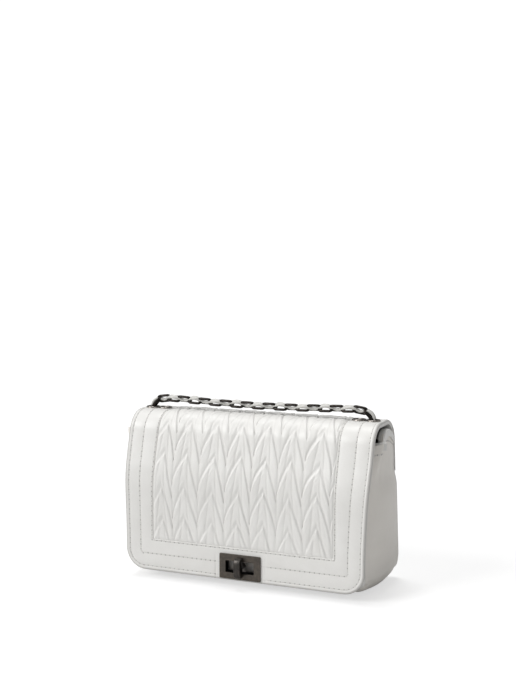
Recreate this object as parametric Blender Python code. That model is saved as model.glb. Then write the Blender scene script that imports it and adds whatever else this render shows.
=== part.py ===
"""Crossbody bag: a soft box of white leather, closed by a pleated flap with a turn lock, and carried
by a chain strap with a leather lace woven through it. Metres, +Z up, +X to the right, the flap at -Y."""

import math

import bmesh
import bpy
from mathutils import Matrix, Vector

# Bag body
BODY_WIDTH = 0.244
PANEL_THICKNESS = 0.0025
MOUTH_DROP = 0.0205
CORNER_RADIUS = 0.020
GUSSET_THICKNESS = 0.0022
GUSSET_BULGE = 0.007
GUSSET_COLUMNS = 8
LINING_THICKNESS = 0.0010
LINING_STANDOFF = 0.0029
LINING_SLACK = 0.0009
LINING_DROP = 0.0020
BINDING_THICKNESS = 0.0009
BINDING_DEPTH = 0.0060

# Outline of the flap's outer face, seen from the end: y from the flap's flat front, and z
HEM_HEIGHT = 0.007
SHOULDER_HEIGHT = 0.100
CROWN_HEIGHT = 0.1635
FRONT_CORNER_INSET = 0.0175
BACK_CORNER_INSET = 0.079
BAG_DEPTH = 0.097
SHOULDER_RADIUS = 0.110
FRONT_CROWN_RADIUS = 0.024
BACK_CROWN_RADIUS = 0.026
ARC_STEP = math.radians(9)

# Flap
FLAP_OVERHANG = 0.003
FLAP_CORNER_RADIUS = 0.021
FLAP_LINING_THICKNESS = 0.0013
BORDER_THICKNESS = 0.0024
PLEAT_RISE = 0.0030
PLEAT_EDGE_RISE = 0.0004
PLEAT_EDGE_ROLL = 0.0050
BORDER_WIDTH = 0.0294
PLEATED_BOTTOM = 0.0384
PLEAT_COLUMNS = 7
BODY_STANDOFF = 0.0075
FOLD_LIFT = 0.0004
FOLD_GAP = 0.0006
FRONT_FOLD_SHARE = 0.5
BACK_FOLD_SHARE = 0.62

# Eyelets
EYELET_INSET = 0.007
EYELET_PITCH = 0.0142
EYELET_RADIUS = 0.0069
EYELET_BORE_RADIUS = 0.0044
EYELET_WALL = 0.0006
EYELET_RIM_HEIGHT = 0.0014
EYELET_WASHER_THICKNESS = 0.0008
EYELET_BARREL_END = 0.0012
EYELET_SIDES = 20

# Chain strap
LINK_WIRE = 0.0019
LINK_INNER_WIDTH = 0.0042
LINK_INNER_LENGTH = 0.0121
LINK_PITCH = 0.0113
LINK_BEND_STEPS = 5
LINK_WIRE_SIDES = 7
LINK_PITCH_TAUT = 0.0119
FIRST_JOINT_ABOVE_CROWN = 0.0008
FIRST_RISE_ANGLE = math.radians(48)
SECOND_RISE_ANGLE = math.radians(8)
RUN_SAG = 0.0026
LACE_RADIUS = 0.0008
LACE_SWAY = 0.0033
LACE_STEPS = 6
LACE_SIDES = 6
STRAP_DIAMETER = 0.0078
STRAP_DEPTH = 0.0125
STRAP_SIDE_SPACE = 0.0164
HANK_END_SPACE = 0.029
HANK_ENTRY = 0.0045
HANK_WIDTH = 0.027
HANK_HEIGHT = 0.0088

# Turn lock
LOCK_WIDTH = 0.0428
LOCK_HEIGHT = 0.0243
LOCK_CENTRE_HEIGHT = 0.021
LOCK_CORNER_RADIUS = 0.0016
LOCK_PLATE_THICKNESS = 0.0018
LOCK_BEVEL = 0.0005
WINDOW_WIDTH = 0.0295
WINDOW_HEIGHT = 0.0115
WINDOW_CORNER_RADIUS = 0.0008
COLLAR_WALL = 0.0010
BACK_PLATE_MARGIN = 0.0014
BACK_PLATE_THICKNESS = 0.0008
BASE_PLATE_WIDTH = 0.036
BASE_PLATE_HEIGHT = 0.018
BASE_PLATE_THICKNESS = 0.0012
STEM_RADIUS = 0.0026
STEM_CLEARANCE = 0.0004
STEM_SIDES = 16
KNOB_LENGTH = 0.0194
KNOB_THICKNESS = 0.0058
KNOB_STAND_OUT = 0.0074
KNOB_END_HEIGHT = 0.0030
KNOB_BEVEL = 0.0008
KNOB_ARC_POINTS = 10
RIVET_HEAD_RADIUS = 0.0042
RIVET_HEAD_THICKNESS = 0.0010
BACKING_WASHER_WIDTH = 0.026
BACKING_WASHER_HEIGHT = 0.016
BACKING_WASHER_THICKNESS = 0.0008

# Gaps and overruns
GAP = 0.0003
CUT_OVERRUN = 0.004

# Worked out from the sizes above
MOUTH_HEIGHT = CROWN_HEIGHT - MOUTH_DROP
FLAP_WIDTH = BODY_WIDTH + 2 * FLAP_OVERHANG
PLEATED_WIDTH = FLAP_WIDTH - 2 * BORDER_WIDTH
EYELET_OUTER_X = FLAP_WIDTH / 2 - EYELET_INSET

# The flap's flat face lies this far forward, so that the whole object is centred on Y
KNOB_REACH = GAP + LOCK_PLATE_THICKNESS + GAP + KNOB_STAND_OUT
FLAP_FACE_Y = KNOB_REACH - (KNOB_REACH + BAG_DEPTH) / 2

MATERIALS = {}


def material(name, colour, roughness, metallic=0.0):
    """One Principled material for each finish."""
    if name not in MATERIALS:
        made = bpy.data.materials.new(name)
        made.use_nodes = True
        shader = made.node_tree.nodes["Principled BSDF"]
        shader.inputs["Base Color"].default_value = (*colour, 1.0)
        shader.inputs["Roughness"].default_value = roughness
        shader.inputs["Metallic"].default_value = metallic
        MATERIALS[name] = made
    return MATERIALS[name]


def white_leather(name):
    return material(name + "_leather", (0.80, 0.79, 0.76), 0.45)


def dark_metal(name):
    return material(name + "_metal", (0.085, 0.075, 0.068), 0.32, 1.0)


def dark_lining(name):
    return material(name + "_textile", (0.045, 0.035, 0.035), 0.85)


def add_object(name, mesh, finish, smooth_angle=math.radians(35)):
    """Puts a mesh in the scene as one named object with its own material."""
    made = bpy.data.objects.new(name, mesh)
    bpy.context.scene.collection.objects.link(made)
    mesh.materials.append(finish)
    for face in mesh.polygons:
        face.use_smooth = True
    mesh.set_sharp_from_angle(angle=smooth_angle)
    return made


def solid_from(name, vertices, faces, finish):
    """A closed mesh from points and faces, with its faces turned outwards."""
    mesh = bpy.data.meshes.new(name)
    mesh.from_pydata([tuple(point) for point in vertices], [], faces)
    work = bmesh.new()
    work.from_mesh(mesh)
    bmesh.ops.recalc_face_normals(work, faces=work.faces)
    work.to_mesh(mesh)
    work.free()
    return add_object(name, mesh, finish)


class Outline:
    """A line of straight runs and tangent arcs in the YZ plane, read by its length along the line."""

    def __init__(self, corners, radii):
        self.pieces = []
        points = [Vector(corner) for corner in corners]
        start = points[0]
        for index in range(1, len(points) - 1):
            corner = points[index]
            radius = radii[index - 1]
            before = (corner - points[index - 1]).normalized()
            after = (points[index + 1] - corner).normalized()
            turn = before.angle_signed(after)
            reach = radius * math.tan(abs(turn) / 2)
            arc_start = corner - before * reach
            self.add_line(start, arc_start)
            side = 1 if turn > 0 else -1
            inward = Vector((before.y, -before.x)) * side
            self.add_arc(arc_start + inward * radius, radius, -inward, turn)
            start = corner + after * reach
        self.add_line(start, points[-1])
        self.length = sum(piece[1] for piece in self.pieces)

    def add_line(self, start, end):
        self.pieces.append(("line", (end - start).length, start, (end - start).normalized()))

    def add_arc(self, centre, radius, first, turn):
        self.pieces.append(("arc", radius * abs(turn), centre, radius, first, turn))

    def at(self, distance):
        """The point at this distance along, and the direction that points out of the bag there."""
        left = max(0.0, min(distance, self.length))
        for index, piece in enumerate(self.pieces):
            if left <= piece[1] or index == len(self.pieces) - 1:
                break
            left -= piece[1]
        if piece[0] == "line":
            along = piece[3]
            return piece[2] + along * left, Vector((-along.y, along.x))
        _, length, centre, radius, first, turn = piece
        angle = turn * left / length
        spoke = Vector((
            first.x * math.cos(angle) + first.y * math.sin(angle),
            first.y * math.cos(angle) - first.x * math.sin(angle),
        ))
        outward = spoke if turn > 0 else -spoke
        return centre + spoke * radius, outward

    def rows(self, start, end):
        """The distances where a mesh needs a row between two distances along the line."""
        found = [start, end]
        along = 0.0
        for piece in self.pieces:
            if start < along < end:
                found.append(along)
            if piece[0] == "arc":
                steps = max(2, math.ceil(abs(piece[5]) / ARC_STEP))
                for step in range(1, steps):
                    here = along + piece[1] * step / steps
                    if start < here < end:
                        found.append(here)
            along += piece[1]
        return sorted(found)

    def arc_place(self, number, share):
        """The distance at a share of the way round one of the arcs."""
        along = 0.0
        arcs = 0
        for piece in self.pieces:
            if piece[0] == "arc":
                if arcs == number:
                    return along + piece[1] * share
                arcs += 1
            along += piece[1]
        raise ValueError("no such arc")

    def at_height(self, height, inset, rising=True):
        """Where a face this far inside the line reaches a height, on its way up or on its way down."""
        low, high = (0.0, self.arc_place(1, 1.0)) if rising else (self.arc_place(1, 1.0), self.length)
        for _ in range(40):
            middle = (low + high) / 2
            place, outward = self.at(middle)
            below = place.y - outward.y * inset < height
            if below == rising:
                low = middle
            else:
                high = middle
        return (low + high) / 2


BACK_LEAN = (BAG_DEPTH - BACK_CORNER_INSET) / CROWN_HEIGHT
OUTER = Outline(
    [
        (FLAP_FACE_Y, 0.0),
        (FLAP_FACE_Y, SHOULDER_HEIGHT),
        (FLAP_FACE_Y + FRONT_CORNER_INSET, CROWN_HEIGHT),
        (FLAP_FACE_Y + BACK_CORNER_INSET, CROWN_HEIGHT),
        (FLAP_FACE_Y + BAG_DEPTH, 0.0),
    ],
    [SHOULDER_RADIUS, FRONT_CROWN_RADIUS, BACK_CROWN_RADIUS],
)
FRONT_FOLD = OUTER.arc_place(1, FRONT_FOLD_SHARE)
BACK_FOLD = OUTER.arc_place(2, BACK_FOLD_SHARE)
EYELET_PLACE = (OUTER.arc_place(1, 1.0) + OUTER.arc_place(2, 0.0)) / 2
EYELET_Y = OUTER.at(EYELET_PLACE)[0].x
FLAP_LINING_OUTER = -BORDER_THICKNESS - GAP
FLAP_INNER = FLAP_LINING_OUTER - FLAP_LINING_THICKNESS
EYELET_PLACES = {
    "left_outer": -EYELET_OUTER_X,
    "left_inner": -EYELET_OUTER_X + EYELET_PITCH,
    "right_inner": EYELET_OUTER_X - EYELET_PITCH,
    "right_outer": EYELET_OUTER_X,
}


def on_outline(x, distance, height):
    """The world point on a sheet that follows the outline, this high above its outer face."""
    place, outward = OUTER.at(distance)
    return Vector((x, place.x + outward.x * height, place.y + outward.y * height))


def rounded_half_width(above_edge, half_width, radius):
    """Half the width of a sheet near an edge whose two corners are rounded."""
    if above_edge >= radius:
        return half_width
    drop = radius - above_edge
    return half_width - radius + math.sqrt(max(0.0, radius * radius - drop * drop))


def corner_rows(edge, radius, steps=5):
    """Rows that follow a rounded corner, from its edge upwards."""
    angles = [math.pi / 2 * step / steps for step in range(steps + 1)]
    return [edge + radius * (1 - math.cos(angle)) for angle in angles]


def sheet(name, finish, columns, rows, place, low, high, keep=None):
    """A closed sheet over a grid: columns is a function of the row's distance, place turns a column, a
    row and a height into a point, and keep says which cells are there. low and high are its two faces."""
    vertices = []
    index = {}

    def vertex(column, row, top):
        key = (column, row, top)
        if key not in index:
            index[key] = len(vertices)
            x = columns(rows[row])[column]
            level = high(x, rows[row]) if top else low(x, rows[row])
            vertices.append(place(x, rows[row], level))
        return index[key]

    count = len(columns(rows[0]))
    cells = {}
    for row in range(len(rows) - 1):
        middle_row = (rows[row] + rows[row + 1]) / 2
        places = columns(middle_row)
        for column in range(count - 1):
            middle = (places[column] + places[column + 1]) / 2
            if keep is None or keep(middle, middle_row):
                cells[(column, row)] = True
    faces = []
    for column, row in cells:
        corners = [(column, row), (column + 1, row), (column + 1, row + 1), (column, row + 1)]
        faces.append([vertex(*corner, True) for corner in corners])
        faces.append([vertex(*corner, False) for corner in reversed(corners)])
        sides = [
            ((column, row - 1), corners[0], corners[1]),
            ((column + 1, row), corners[1], corners[2]),
            ((column, row + 1), corners[2], corners[3]),
            ((column - 1, row), corners[3], corners[0]),
        ]
        for neighbour, start, end in sides:
            if neighbour not in cells:
                faces.append([
                    vertex(*start, True), vertex(*start, False), vertex(*end, False), vertex(*end, True),
                ])
    return solid_from(name, vertices, faces, finish)


def level(value):
    """The same height all over a sheet."""
    return lambda x, distance: value


def merged(*lists):
    """Several lists of distances as one, in order and without repeats."""
    found = []
    for distance in sorted(value for values in lists for value in values):
        if not found or distance - found[-1] > GAP / 10:
            found.append(distance)
    return found


def rounded_rectangle(half_width, half_height, radius, steps=3):
    """Points round a rectangle with rounded corners; a circle where the three sizes are alike."""
    points = []
    centres = [(1, 1), (-1, 1), (-1, -1), (1, -1)]
    for quarter, (across, up) in enumerate(centres):
        for step in range(steps + 1):
            angle = math.pi / 2 * (quarter + step / steps)
            points.append((
                across * (half_width - radius) + radius * math.cos(angle),
                up * (half_height - radius) + radius * math.sin(angle),
            ))
    return points


def ring_solid(name, finish, loops, frame):
    """A closed ring through a list of loops; each loop is a list of 2-D points and its depth."""
    vertices = []
    for points, depth in loops:
        for across, up in points:
            vertices.append(frame @ Vector((across, up, depth)))
    count = len(loops[0][0])
    faces = []
    for loop in range(len(loops)):
        following = (loop + 1) % len(loops)
        for point in range(count):
            after = (point + 1) % count
            faces.append([
                loop * count + point,
                loop * count + after,
                following * count + after,
                following * count + point,
            ])
    return solid_from(name, vertices, faces, finish)


def circle(radius, sides):
    """Points round a circle."""
    angles = [math.tau * side / sides for side in range(sides)]
    return [(radius * math.cos(angle), radius * math.sin(angle)) for angle in angles]


def cylinder_mesh(name, radius, start, end, sides):
    """A plain cylinder between two points."""
    work = bmesh.new()
    direction = end - start
    turn = direction.to_track_quat("Z", "Y").to_matrix().to_4x4()
    bmesh.ops.create_cone(
        work,
        cap_ends=True,
        segments=sides,
        radius1=radius,
        radius2=radius,
        depth=direction.length,
        matrix=Matrix.Translation((start + end) / 2) @ turn,
    )
    mesh = bpy.data.meshes.new(name)
    work.to_mesh(mesh)
    work.free()
    return mesh


def cut(target, mesh, operation="DIFFERENCE"):
    """Cuts a mesh out of an object, or joins it on, with a Boolean modifier."""
    tool = bpy.data.objects.new(target.name + "_tool", mesh)
    bpy.context.scene.collection.objects.link(tool)
    tool.hide_render = True
    tool.display_type = "WIRE"
    boolean = target.modifiers.new("Boolean", "BOOLEAN")
    boolean.operation = operation
    boolean.object = tool
    boolean.solver = "EXACT"


# Body panels


def half_body_columns(extra=()):
    """Columns across a body panel: its rounded lower corners move only the outermost two."""
    inner = BODY_WIDTH / 2 - CORNER_RADIUS - GAP
    middle = [x for x in merged([0.0], extra)]
    places = sorted({-x for x in middle} | set(middle) | {-inner, inner})

    def columns(distance):
        edge = rounded_half_width(OUTER.at(distance)[0].y, BODY_WIDTH / 2, CORNER_RADIUS)
        return [-edge] + places + [edge]

    return columns


def front_panel():
    rows = merged(
        corner_rows(0.0, CORNER_RADIUS),
        OUTER.rows(0.0, OUTER.at_height(MOUTH_HEIGHT, BODY_STANDOFF)),
    )
    outer = -BODY_STANDOFF
    inner = outer - PANEL_THICKNESS
    finish = white_leather("front_panel")
    made = sheet(
        "front_panel", finish, half_body_columns(), rows, on_outline, level(inner), level(outer)
    )
    cut_stem_hole(made)


def cut_stem_hole(target):
    reach = Vector((0.0, BODY_STANDOFF + PANEL_THICKNESS + CUT_OVERRUN, 0.0))
    start = Vector((0.0, FLAP_FACE_Y, LOCK_CENTRE_HEIGHT))
    radius = STEM_RADIUS + STEM_CLEARANCE
    cut(target, cylinder_mesh("stem_hole", radius, start, start + reach, STEM_SIDES))


def back_panel():
    """Stands up to the fold line, and curves over with the flap above the mouth."""
    rows = merged(
        OUTER.rows(BACK_FOLD + FOLD_GAP / 2, OUTER.length),
        [OUTER.length - row / math.cos(math.atan(BACK_LEAN)) for row in corner_rows(0.0, CORNER_RADIUS)],
    )
    finish = white_leather("back_panel")

    def standing(x, distance, height):
        """The leaning wall's lower edge is cut level with the floor."""
        point = on_outline(x, distance, height)
        point.z = max(0.0, point.z)
        return point

    sheet(
        "back_panel", finish, half_body_columns(), rows, standing, level(-PANEL_THICKNESS), level(0.0)
    )


def front_inner_y(height):
    """Where the front panel's inner face is, this high above the floor."""
    inner = BODY_STANDOFF + PANEL_THICKNESS
    place, outward = OUTER.at(OUTER.at_height(height, inner))
    return place.x - outward.x * inner


def back_inner_y(height):
    """Where the back panel's inner face is, this high above the floor."""
    place, outward = OUTER.at(OUTER.at_height(height, PANEL_THICKNESS, rising=False))
    return place.x - outward.x * PANEL_THICKNESS


BULGE_HEIGHT_SHARES = [(0.0, 0.0), (0.14, 0.15), (0.35, 0.8), (0.6, 1.0), (0.85, 0.8), (1.0, 0.78)]


def bulge_at(height):
    """How far the soft gusset stands out at a height, in the middle of its depth."""
    share = min(max(height / MOUTH_HEIGHT, 0.0), 1.0)
    for (low, first), (high, second) in zip(BULGE_HEIGHT_SHARES, BULGE_HEIGHT_SHARES[1:]):
        if share <= high:
            part = (share - low) / (high - low)
            smooth = part * part * (3 - 2 * part)
            return GUSSET_BULGE * (first + (second - first) * smooth)
    return GUSSET_BULGE * BULGE_HEIGHT_SHARES[-1][1]


def gusset_out(y, height):
    """How far the gusset's outer face stands out at a place: nothing at its two seams, most between."""
    front = front_inner_y(height) + GAP
    back = back_inner_y(height) - GAP
    share = min(1.0, max(0.0, (y - front) / (back - front)))
    turned_up = math.sqrt(max(0.0, 1 - (1 - min(1.0, height / CORNER_RADIUS)) ** 2))
    return bulge_at(height) * turned_up * (1 - (2 * share - 1) ** 2)


def strip_line():
    """The gusset strip's route in XZ, from the left mouth under the base to the right: point and normal."""
    half = BODY_WIDTH / 2
    straight = [CORNER_RADIUS + (MOUTH_HEIGHT - CORNER_RADIUS) * step / 7 for step in range(1, 8)]
    base = [half - CORNER_RADIUS, (half - CORNER_RADIUS) / 3]
    right = [(x, 0.0, 0.0, -1.0) for x in reversed(base)]
    for step in range(1, 7):
        angle = math.pi / 2 * step / 6
        right.append((
            half - CORNER_RADIUS + CORNER_RADIUS * math.sin(angle),
            CORNER_RADIUS * (1 - math.cos(angle)),
            math.sin(angle),
            -math.cos(angle),
        ))
    right += [(half, height, 1.0, 0.0) for height in straight]
    left = [(-x, z, -across, up) for x, z, across, up in reversed(right)]
    return left + right


def gusset_face(line_point, y, depth):
    """A point this deep under the gusset's outer face, at one place of its line and one y."""
    x, z, across, up = line_point
    return Vector((x + across * gusset_out(y, z) - across * depth, y, z - up * depth))


def gusset_strip():
    """One soft strip, butted between the two panels: both ends and the base."""
    line = strip_line()
    shares = [step / GUSSET_COLUMNS for step in range(GUSSET_COLUMNS + 1)]
    vertices = []
    for depth in (0.0, GUSSET_THICKNESS):
        for place in line:
            front = front_inner_y(place[1]) + GAP
            back = back_inner_y(place[1]) - GAP
            for share in shares:
                vertices.append(gusset_face(place, front + (back - front) * share, depth))
    wide = len(shares)
    layer = wide * len(line)
    faces = []
    for row in range(len(line) - 1):
        for column in range(wide - 1):
            first = row * wide + column
            quad = [first, first + 1, first + 1 + wide, first + wide]
            faces.append(quad)
            faces.append([layer + corner for corner in reversed(quad)])
        for start, end in ((row * wide, (row + 1) * wide), ((row + 2) * wide - 1, (row + 1) * wide - 1)):
            faces.append([start, end, end + layer, start + layer])
    for row in (0, len(line) - 1):
        for column in range(wide - 1):
            start = row * wide + column
            faces.append([start, start + 1, start + 1 + layer, start + layer])
    solid_from("gusset_strip", vertices, faces, white_leather("gusset"))


def skin(name, finish, loops):
    """A closed mesh through a list of loops that have as many points each, with its two ends filled."""
    count = len(loops[0])
    vertices = [point for points in loops for point in points]
    faces = [list(range(count)), [len(vertices) - count + point for point in range(count)]]
    for row in range(len(loops) - 1):
        for point in range(count):
            after = (point + 1) % count
            faces.append([
                row * count + point,
                row * count + after,
                (row + 1) * count + after,
                (row + 1) * count + point,
            ])
    return solid_from(name, vertices, faces, finish)


def lining_bag():
    """The loose lining: a cup with four walls and a floor, hung inside the body."""
    line = strip_line()
    right = line[len(line) // 2 + 1:]
    top_x, top_z, across, up = right[-1]
    right[-1] = (top_x, top_z - LINING_DROP, across, up)
    outer = GUSSET_THICKNESS + LINING_SLACK
    last = len(right) - 1

    def loop(number, inset):
        points = []
        height = right[number][1]
        front = front_inner_y(height) + LINING_STANDOFF + inset
        back = back_inner_y(height) - LINING_SLACK - inset
        for share in [step / GUSSET_COLUMNS for step in range(GUSSET_COLUMNS + 1)]:
            depth = outer + (0.0 if number == last and inset == 0.0 else inset)
            points.append(gusset_face(right[number], front + (back - front) * share, depth))
        mirrored = [Vector((-point.x, point.y, point.z)) for point in reversed(points)]
        return points + mirrored

    loops = [loop(number, 0.0) for number in range(last + 1)]
    loops += [loop(number, LINING_THICKNESS) for number in range(last, -1, -1)]
    skin("lining_bag", dark_lining("lining_bag"), loops)


def channel(name, finish, line, upward, half_inside, depth):
    """Edge binding: an upturned U that rides over an edge. line has points on the edge's middle and the
    sideways direction there; the U's two legs hang half_inside away on each side."""
    top = GAP
    wall = BINDING_THICKNESS
    profile = [
        (half_inside, -depth), (half_inside, top), (-half_inside, top), (-half_inside, -depth),
        (-half_inside - wall, -depth), (-half_inside - wall, top + wall / 2), (-half_inside, top + wall),
        (half_inside, top + wall), (half_inside + wall, top + wall / 2), (half_inside + wall, -depth),
    ]
    loops = []
    for middle, sideways in line:
        loops.append([middle + sideways * across + upward * up for across, up in profile])
    skin(name, finish, loops)


def bindings():
    """Bound edges round the mouth: over the front panel, and over each gusset with its lining."""
    inset = BODY_STANDOFF + PANEL_THICKNESS / 2
    edge = OUTER.at_height(MOUTH_HEIGHT, BODY_STANDOFF)
    middle = on_outline(0.0, edge, -inset)
    outward = OUTER.at(edge)[1]
    sideways = Vector((0.0, outward.x, outward.y))
    upward = Vector((0.0, outward.y, -outward.x))
    half = BODY_WIDTH / 2 - GUSSET_THICKNESS - GAP
    line = [(Vector((x, middle.y, middle.z)), sideways) for x in (-half, half)]
    finish = white_leather("front_binding")
    channel("front_binding", finish, line, upward, PANEL_THICKNESS / 2 + GAP, BINDING_DEPTH)
    wrapped = GUSSET_THICKNESS + LINING_SLACK + LINING_THICKNESS
    top = MOUTH_HEIGHT + GAP + BINDING_THICKNESS
    front = front_inner_y(top) + LINING_STANDOFF + LINING_THICKNESS + GAP
    back = back_inner_y(top) - LINING_SLACK - LINING_THICKNESS - GAP
    for side, name in ((-1, "left_gusset_binding"), (1, "right_gusset_binding")):
        line = []
        for step in range(GUSSET_COLUMNS + 1):
            y = front + (back - front) * step / GUSSET_COLUMNS
            out = BODY_WIDTH / 2 + gusset_out(y, MOUTH_HEIGHT) - wrapped / 2
            line.append((Vector((side * out, y, MOUTH_HEIGHT)), Vector((side * 1.0, 0.0, 0.0))))
        straight_up = Vector((0.0, 0.0, 1.0))
        channel(name, white_leather(name), line, straight_up, wrapped / 2 + 2 * GAP, BINDING_DEPTH)


# Flap


def flap_columns(places):
    """Columns across the flap: its rounded lower corners move only the outermost two."""
    inner = sorted({-x for x in places} | set(places))

    def columns(distance):
        above = distance - HEM_HEIGHT
        edge = rounded_half_width(above, FLAP_WIDTH / 2, FLAP_CORNER_RADIUS)
        return [-edge] + inner + [edge]

    return columns


HOLE_HALF_WIDTH = WINDOW_WIDTH / 2 + COLLAR_WALL + GAP
HOLE_HALF_HEIGHT = WINDOW_HEIGHT / 2 + COLLAR_WALL + GAP


def in_lock_hole(x, distance):
    inside_width = abs(x) < HOLE_HALF_WIDTH
    return inside_width and abs(distance - LOCK_CENTRE_HEIGHT) < HOLE_HALF_HEIGHT


def front_rows():
    """Rows of the hanging part of the flap, from its hem to the fold."""
    return merged(
        corner_rows(HEM_HEIGHT, FLAP_CORNER_RADIUS),
        [LOCK_CENTRE_HEIGHT - HOLE_HALF_HEIGHT, LOCK_CENTRE_HEIGHT + HOLE_HALF_HEIGHT],
        [PLEATED_BOTTOM - GAP],
        OUTER.rows(HEM_HEIGHT, FRONT_FOLD - FOLD_GAP / 2),
    )


def crown_rows():
    return OUTER.rows(FRONT_FOLD + FOLD_GAP / 2, BACK_FOLD - FOLD_GAP / 2)


def pleat_height(x, distance):
    """The padded panel stands proud, and rolls down to the border's stitched edge."""
    from_side = PLEATED_WIDTH / 2 - abs(x)
    from_end = distance - PLEATED_BOTTOM
    share = min(1.0, max(0.0, min(from_side, from_end) / PLEAT_EDGE_ROLL))
    return PLEAT_EDGE_RISE + (PLEAT_RISE - PLEAT_EDGE_RISE) * math.sin(math.pi / 2 * share)


def pleat_columns():
    """Columns of the pleated panel: one at each valley and ridge, and two at each rolled edge."""
    half = PLEATED_WIDTH / 2
    pitch = PLEATED_WIDTH / PLEAT_COLUMNS
    places = [-half, -half + PLEAT_EDGE_ROLL / 2, half - PLEAT_EDGE_ROLL / 2, half]
    places += [-half + PLEAT_EDGE_ROLL, half - PLEAT_EDGE_ROLL]
    places += [-half + pitch * step for step in range(1, PLEAT_COLUMNS)]
    return sorted(places)


def flap_pieces():
    """The flap in two runs, which bend apart at the two fold lines."""
    side = PLEATED_WIDTH / 2 + GAP
    border = flap_columns([side, HOLE_HALF_WIDTH])
    in_window = PLEATED_BOTTOM - GAP

    def border_cell(x, distance):
        return not (abs(x) < side and distance > in_window) and not in_lock_hole(x, distance)

    def lining_cell(x, distance):
        return not in_lock_hole(x, distance)

    sheet(
        "flap_border", white_leather("flap_border"), border, front_rows(), on_outline,
        level(-BORDER_THICKNESS), level(0.0), border_cell,
    )
    sheet(
        "flap_lining", white_leather("flap_lining"), border, front_rows(), on_outline,
        level(FLAP_INNER), level(FLAP_LINING_OUTER), lining_cell,
    )
    bottom_roll = [PLEATED_BOTTOM + PLEAT_EDGE_ROLL * step / 2 for step in range(3)]
    sheet(
        "pleated_panel", white_leather("pleated_panel"), lambda distance: pleat_columns(),
        merged(bottom_roll, OUTER.rows(PLEATED_BOTTOM, FRONT_FOLD - FOLD_GAP / 2)), on_outline,
        level(-BORDER_THICKNESS), pleat_height,
    )
    crown = [
        sheet(
            "crown_lining", white_leather("crown_lining"),
            lambda distance: [-FLAP_WIDTH / 2, -side, side, FLAP_WIDTH / 2], crown_rows(), on_outline,
            level(FLAP_INNER), level(FLAP_LINING_OUTER),
        ),
        sheet(
            "crown_border_left", white_leather("crown_border_left"),
            lambda distance: [-FLAP_WIDTH / 2, -side], crown_rows(), on_outline,
            level(-BORDER_THICKNESS), level(0.0),
        ),
        sheet(
            "crown_border_right", white_leather("crown_border_right"),
            lambda distance: [side, FLAP_WIDTH / 2], crown_rows(), on_outline,
            level(-BORDER_THICKNESS), level(0.0),
        ),
    ]
    sheet(
        "crown_pleats", white_leather("crown_pleats"), lambda distance: pleat_columns(), crown_rows(),
        on_outline, level(-BORDER_THICKNESS), pleat_height,
    )
    for target in crown:
        for x in EYELET_PLACES.values():
            other_side = {"crown_border_left": x > 0, "crown_border_right": x < 0}
            if other_side.get(target.name):
                continue
            top = on_outline(x, EYELET_PLACE, CUT_OVERRUN)
            bottom = on_outline(x, EYELET_PLACE, FLAP_INNER - CUT_OVERRUN)
            radius = EYELET_BORE_RADIUS + EYELET_WALL + GAP
            cut(target, cylinder_mesh("eyelet_hole", radius, bottom, top, EYELET_SIDES))


def eyelets():
    """A flanged barrel through the leather, closed over a washer on the lining's side."""
    bore = EYELET_BORE_RADIUS
    barrel = bore + EYELET_WALL
    under_washer = FLAP_INNER - GAP - EYELET_WASHER_THICKNESS
    end = under_washer - GAP - EYELET_BARREL_END
    ring_loops = [
        (bore, end), (bore, GAP + EYELET_RIM_HEIGHT / 2), (bore + EYELET_WALL / 2, GAP + EYELET_RIM_HEIGHT),
        (EYELET_RADIUS - EYELET_WALL, GAP + EYELET_RIM_HEIGHT), (EYELET_RADIUS, GAP + EYELET_RIM_HEIGHT / 3),
        (EYELET_RADIUS, GAP), (barrel, GAP), (barrel, under_washer - GAP),
        (barrel + EYELET_WALL, under_washer - GAP), (barrel + EYELET_WALL, end),
    ]
    washer_loops = [
        (barrel + GAP, under_washer), (barrel + GAP, FLAP_INNER - GAP),
        (EYELET_RADIUS, FLAP_INNER - GAP), (EYELET_RADIUS, under_washer),
    ]
    for name, x in EYELET_PLACES.items():
        frame = Matrix.Translation(on_outline(x, EYELET_PLACE, 0.0))
        for kind, loops in (("eyelet_", ring_loops), ("eyelet_washer_", washer_loops)):
            shapes = [(circle(radius, EYELET_SIDES), depth) for radius, depth in loops]
            ring_solid(kind + name, dark_metal(kind + name), shapes, frame)


# Turn lock


def lock_frame(depth):
    """A frame that looks along the lock's axis: its depth runs from the flap's face into the bag."""
    turn = Matrix(((1, 0, 0, 0), (0, 0, 1, 0), (0, 1, 0, 0), (0, 0, 0, 1)))
    return Matrix.Translation((0.0, FLAP_FACE_Y + depth, LOCK_CENTRE_HEIGHT)) @ turn


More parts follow.
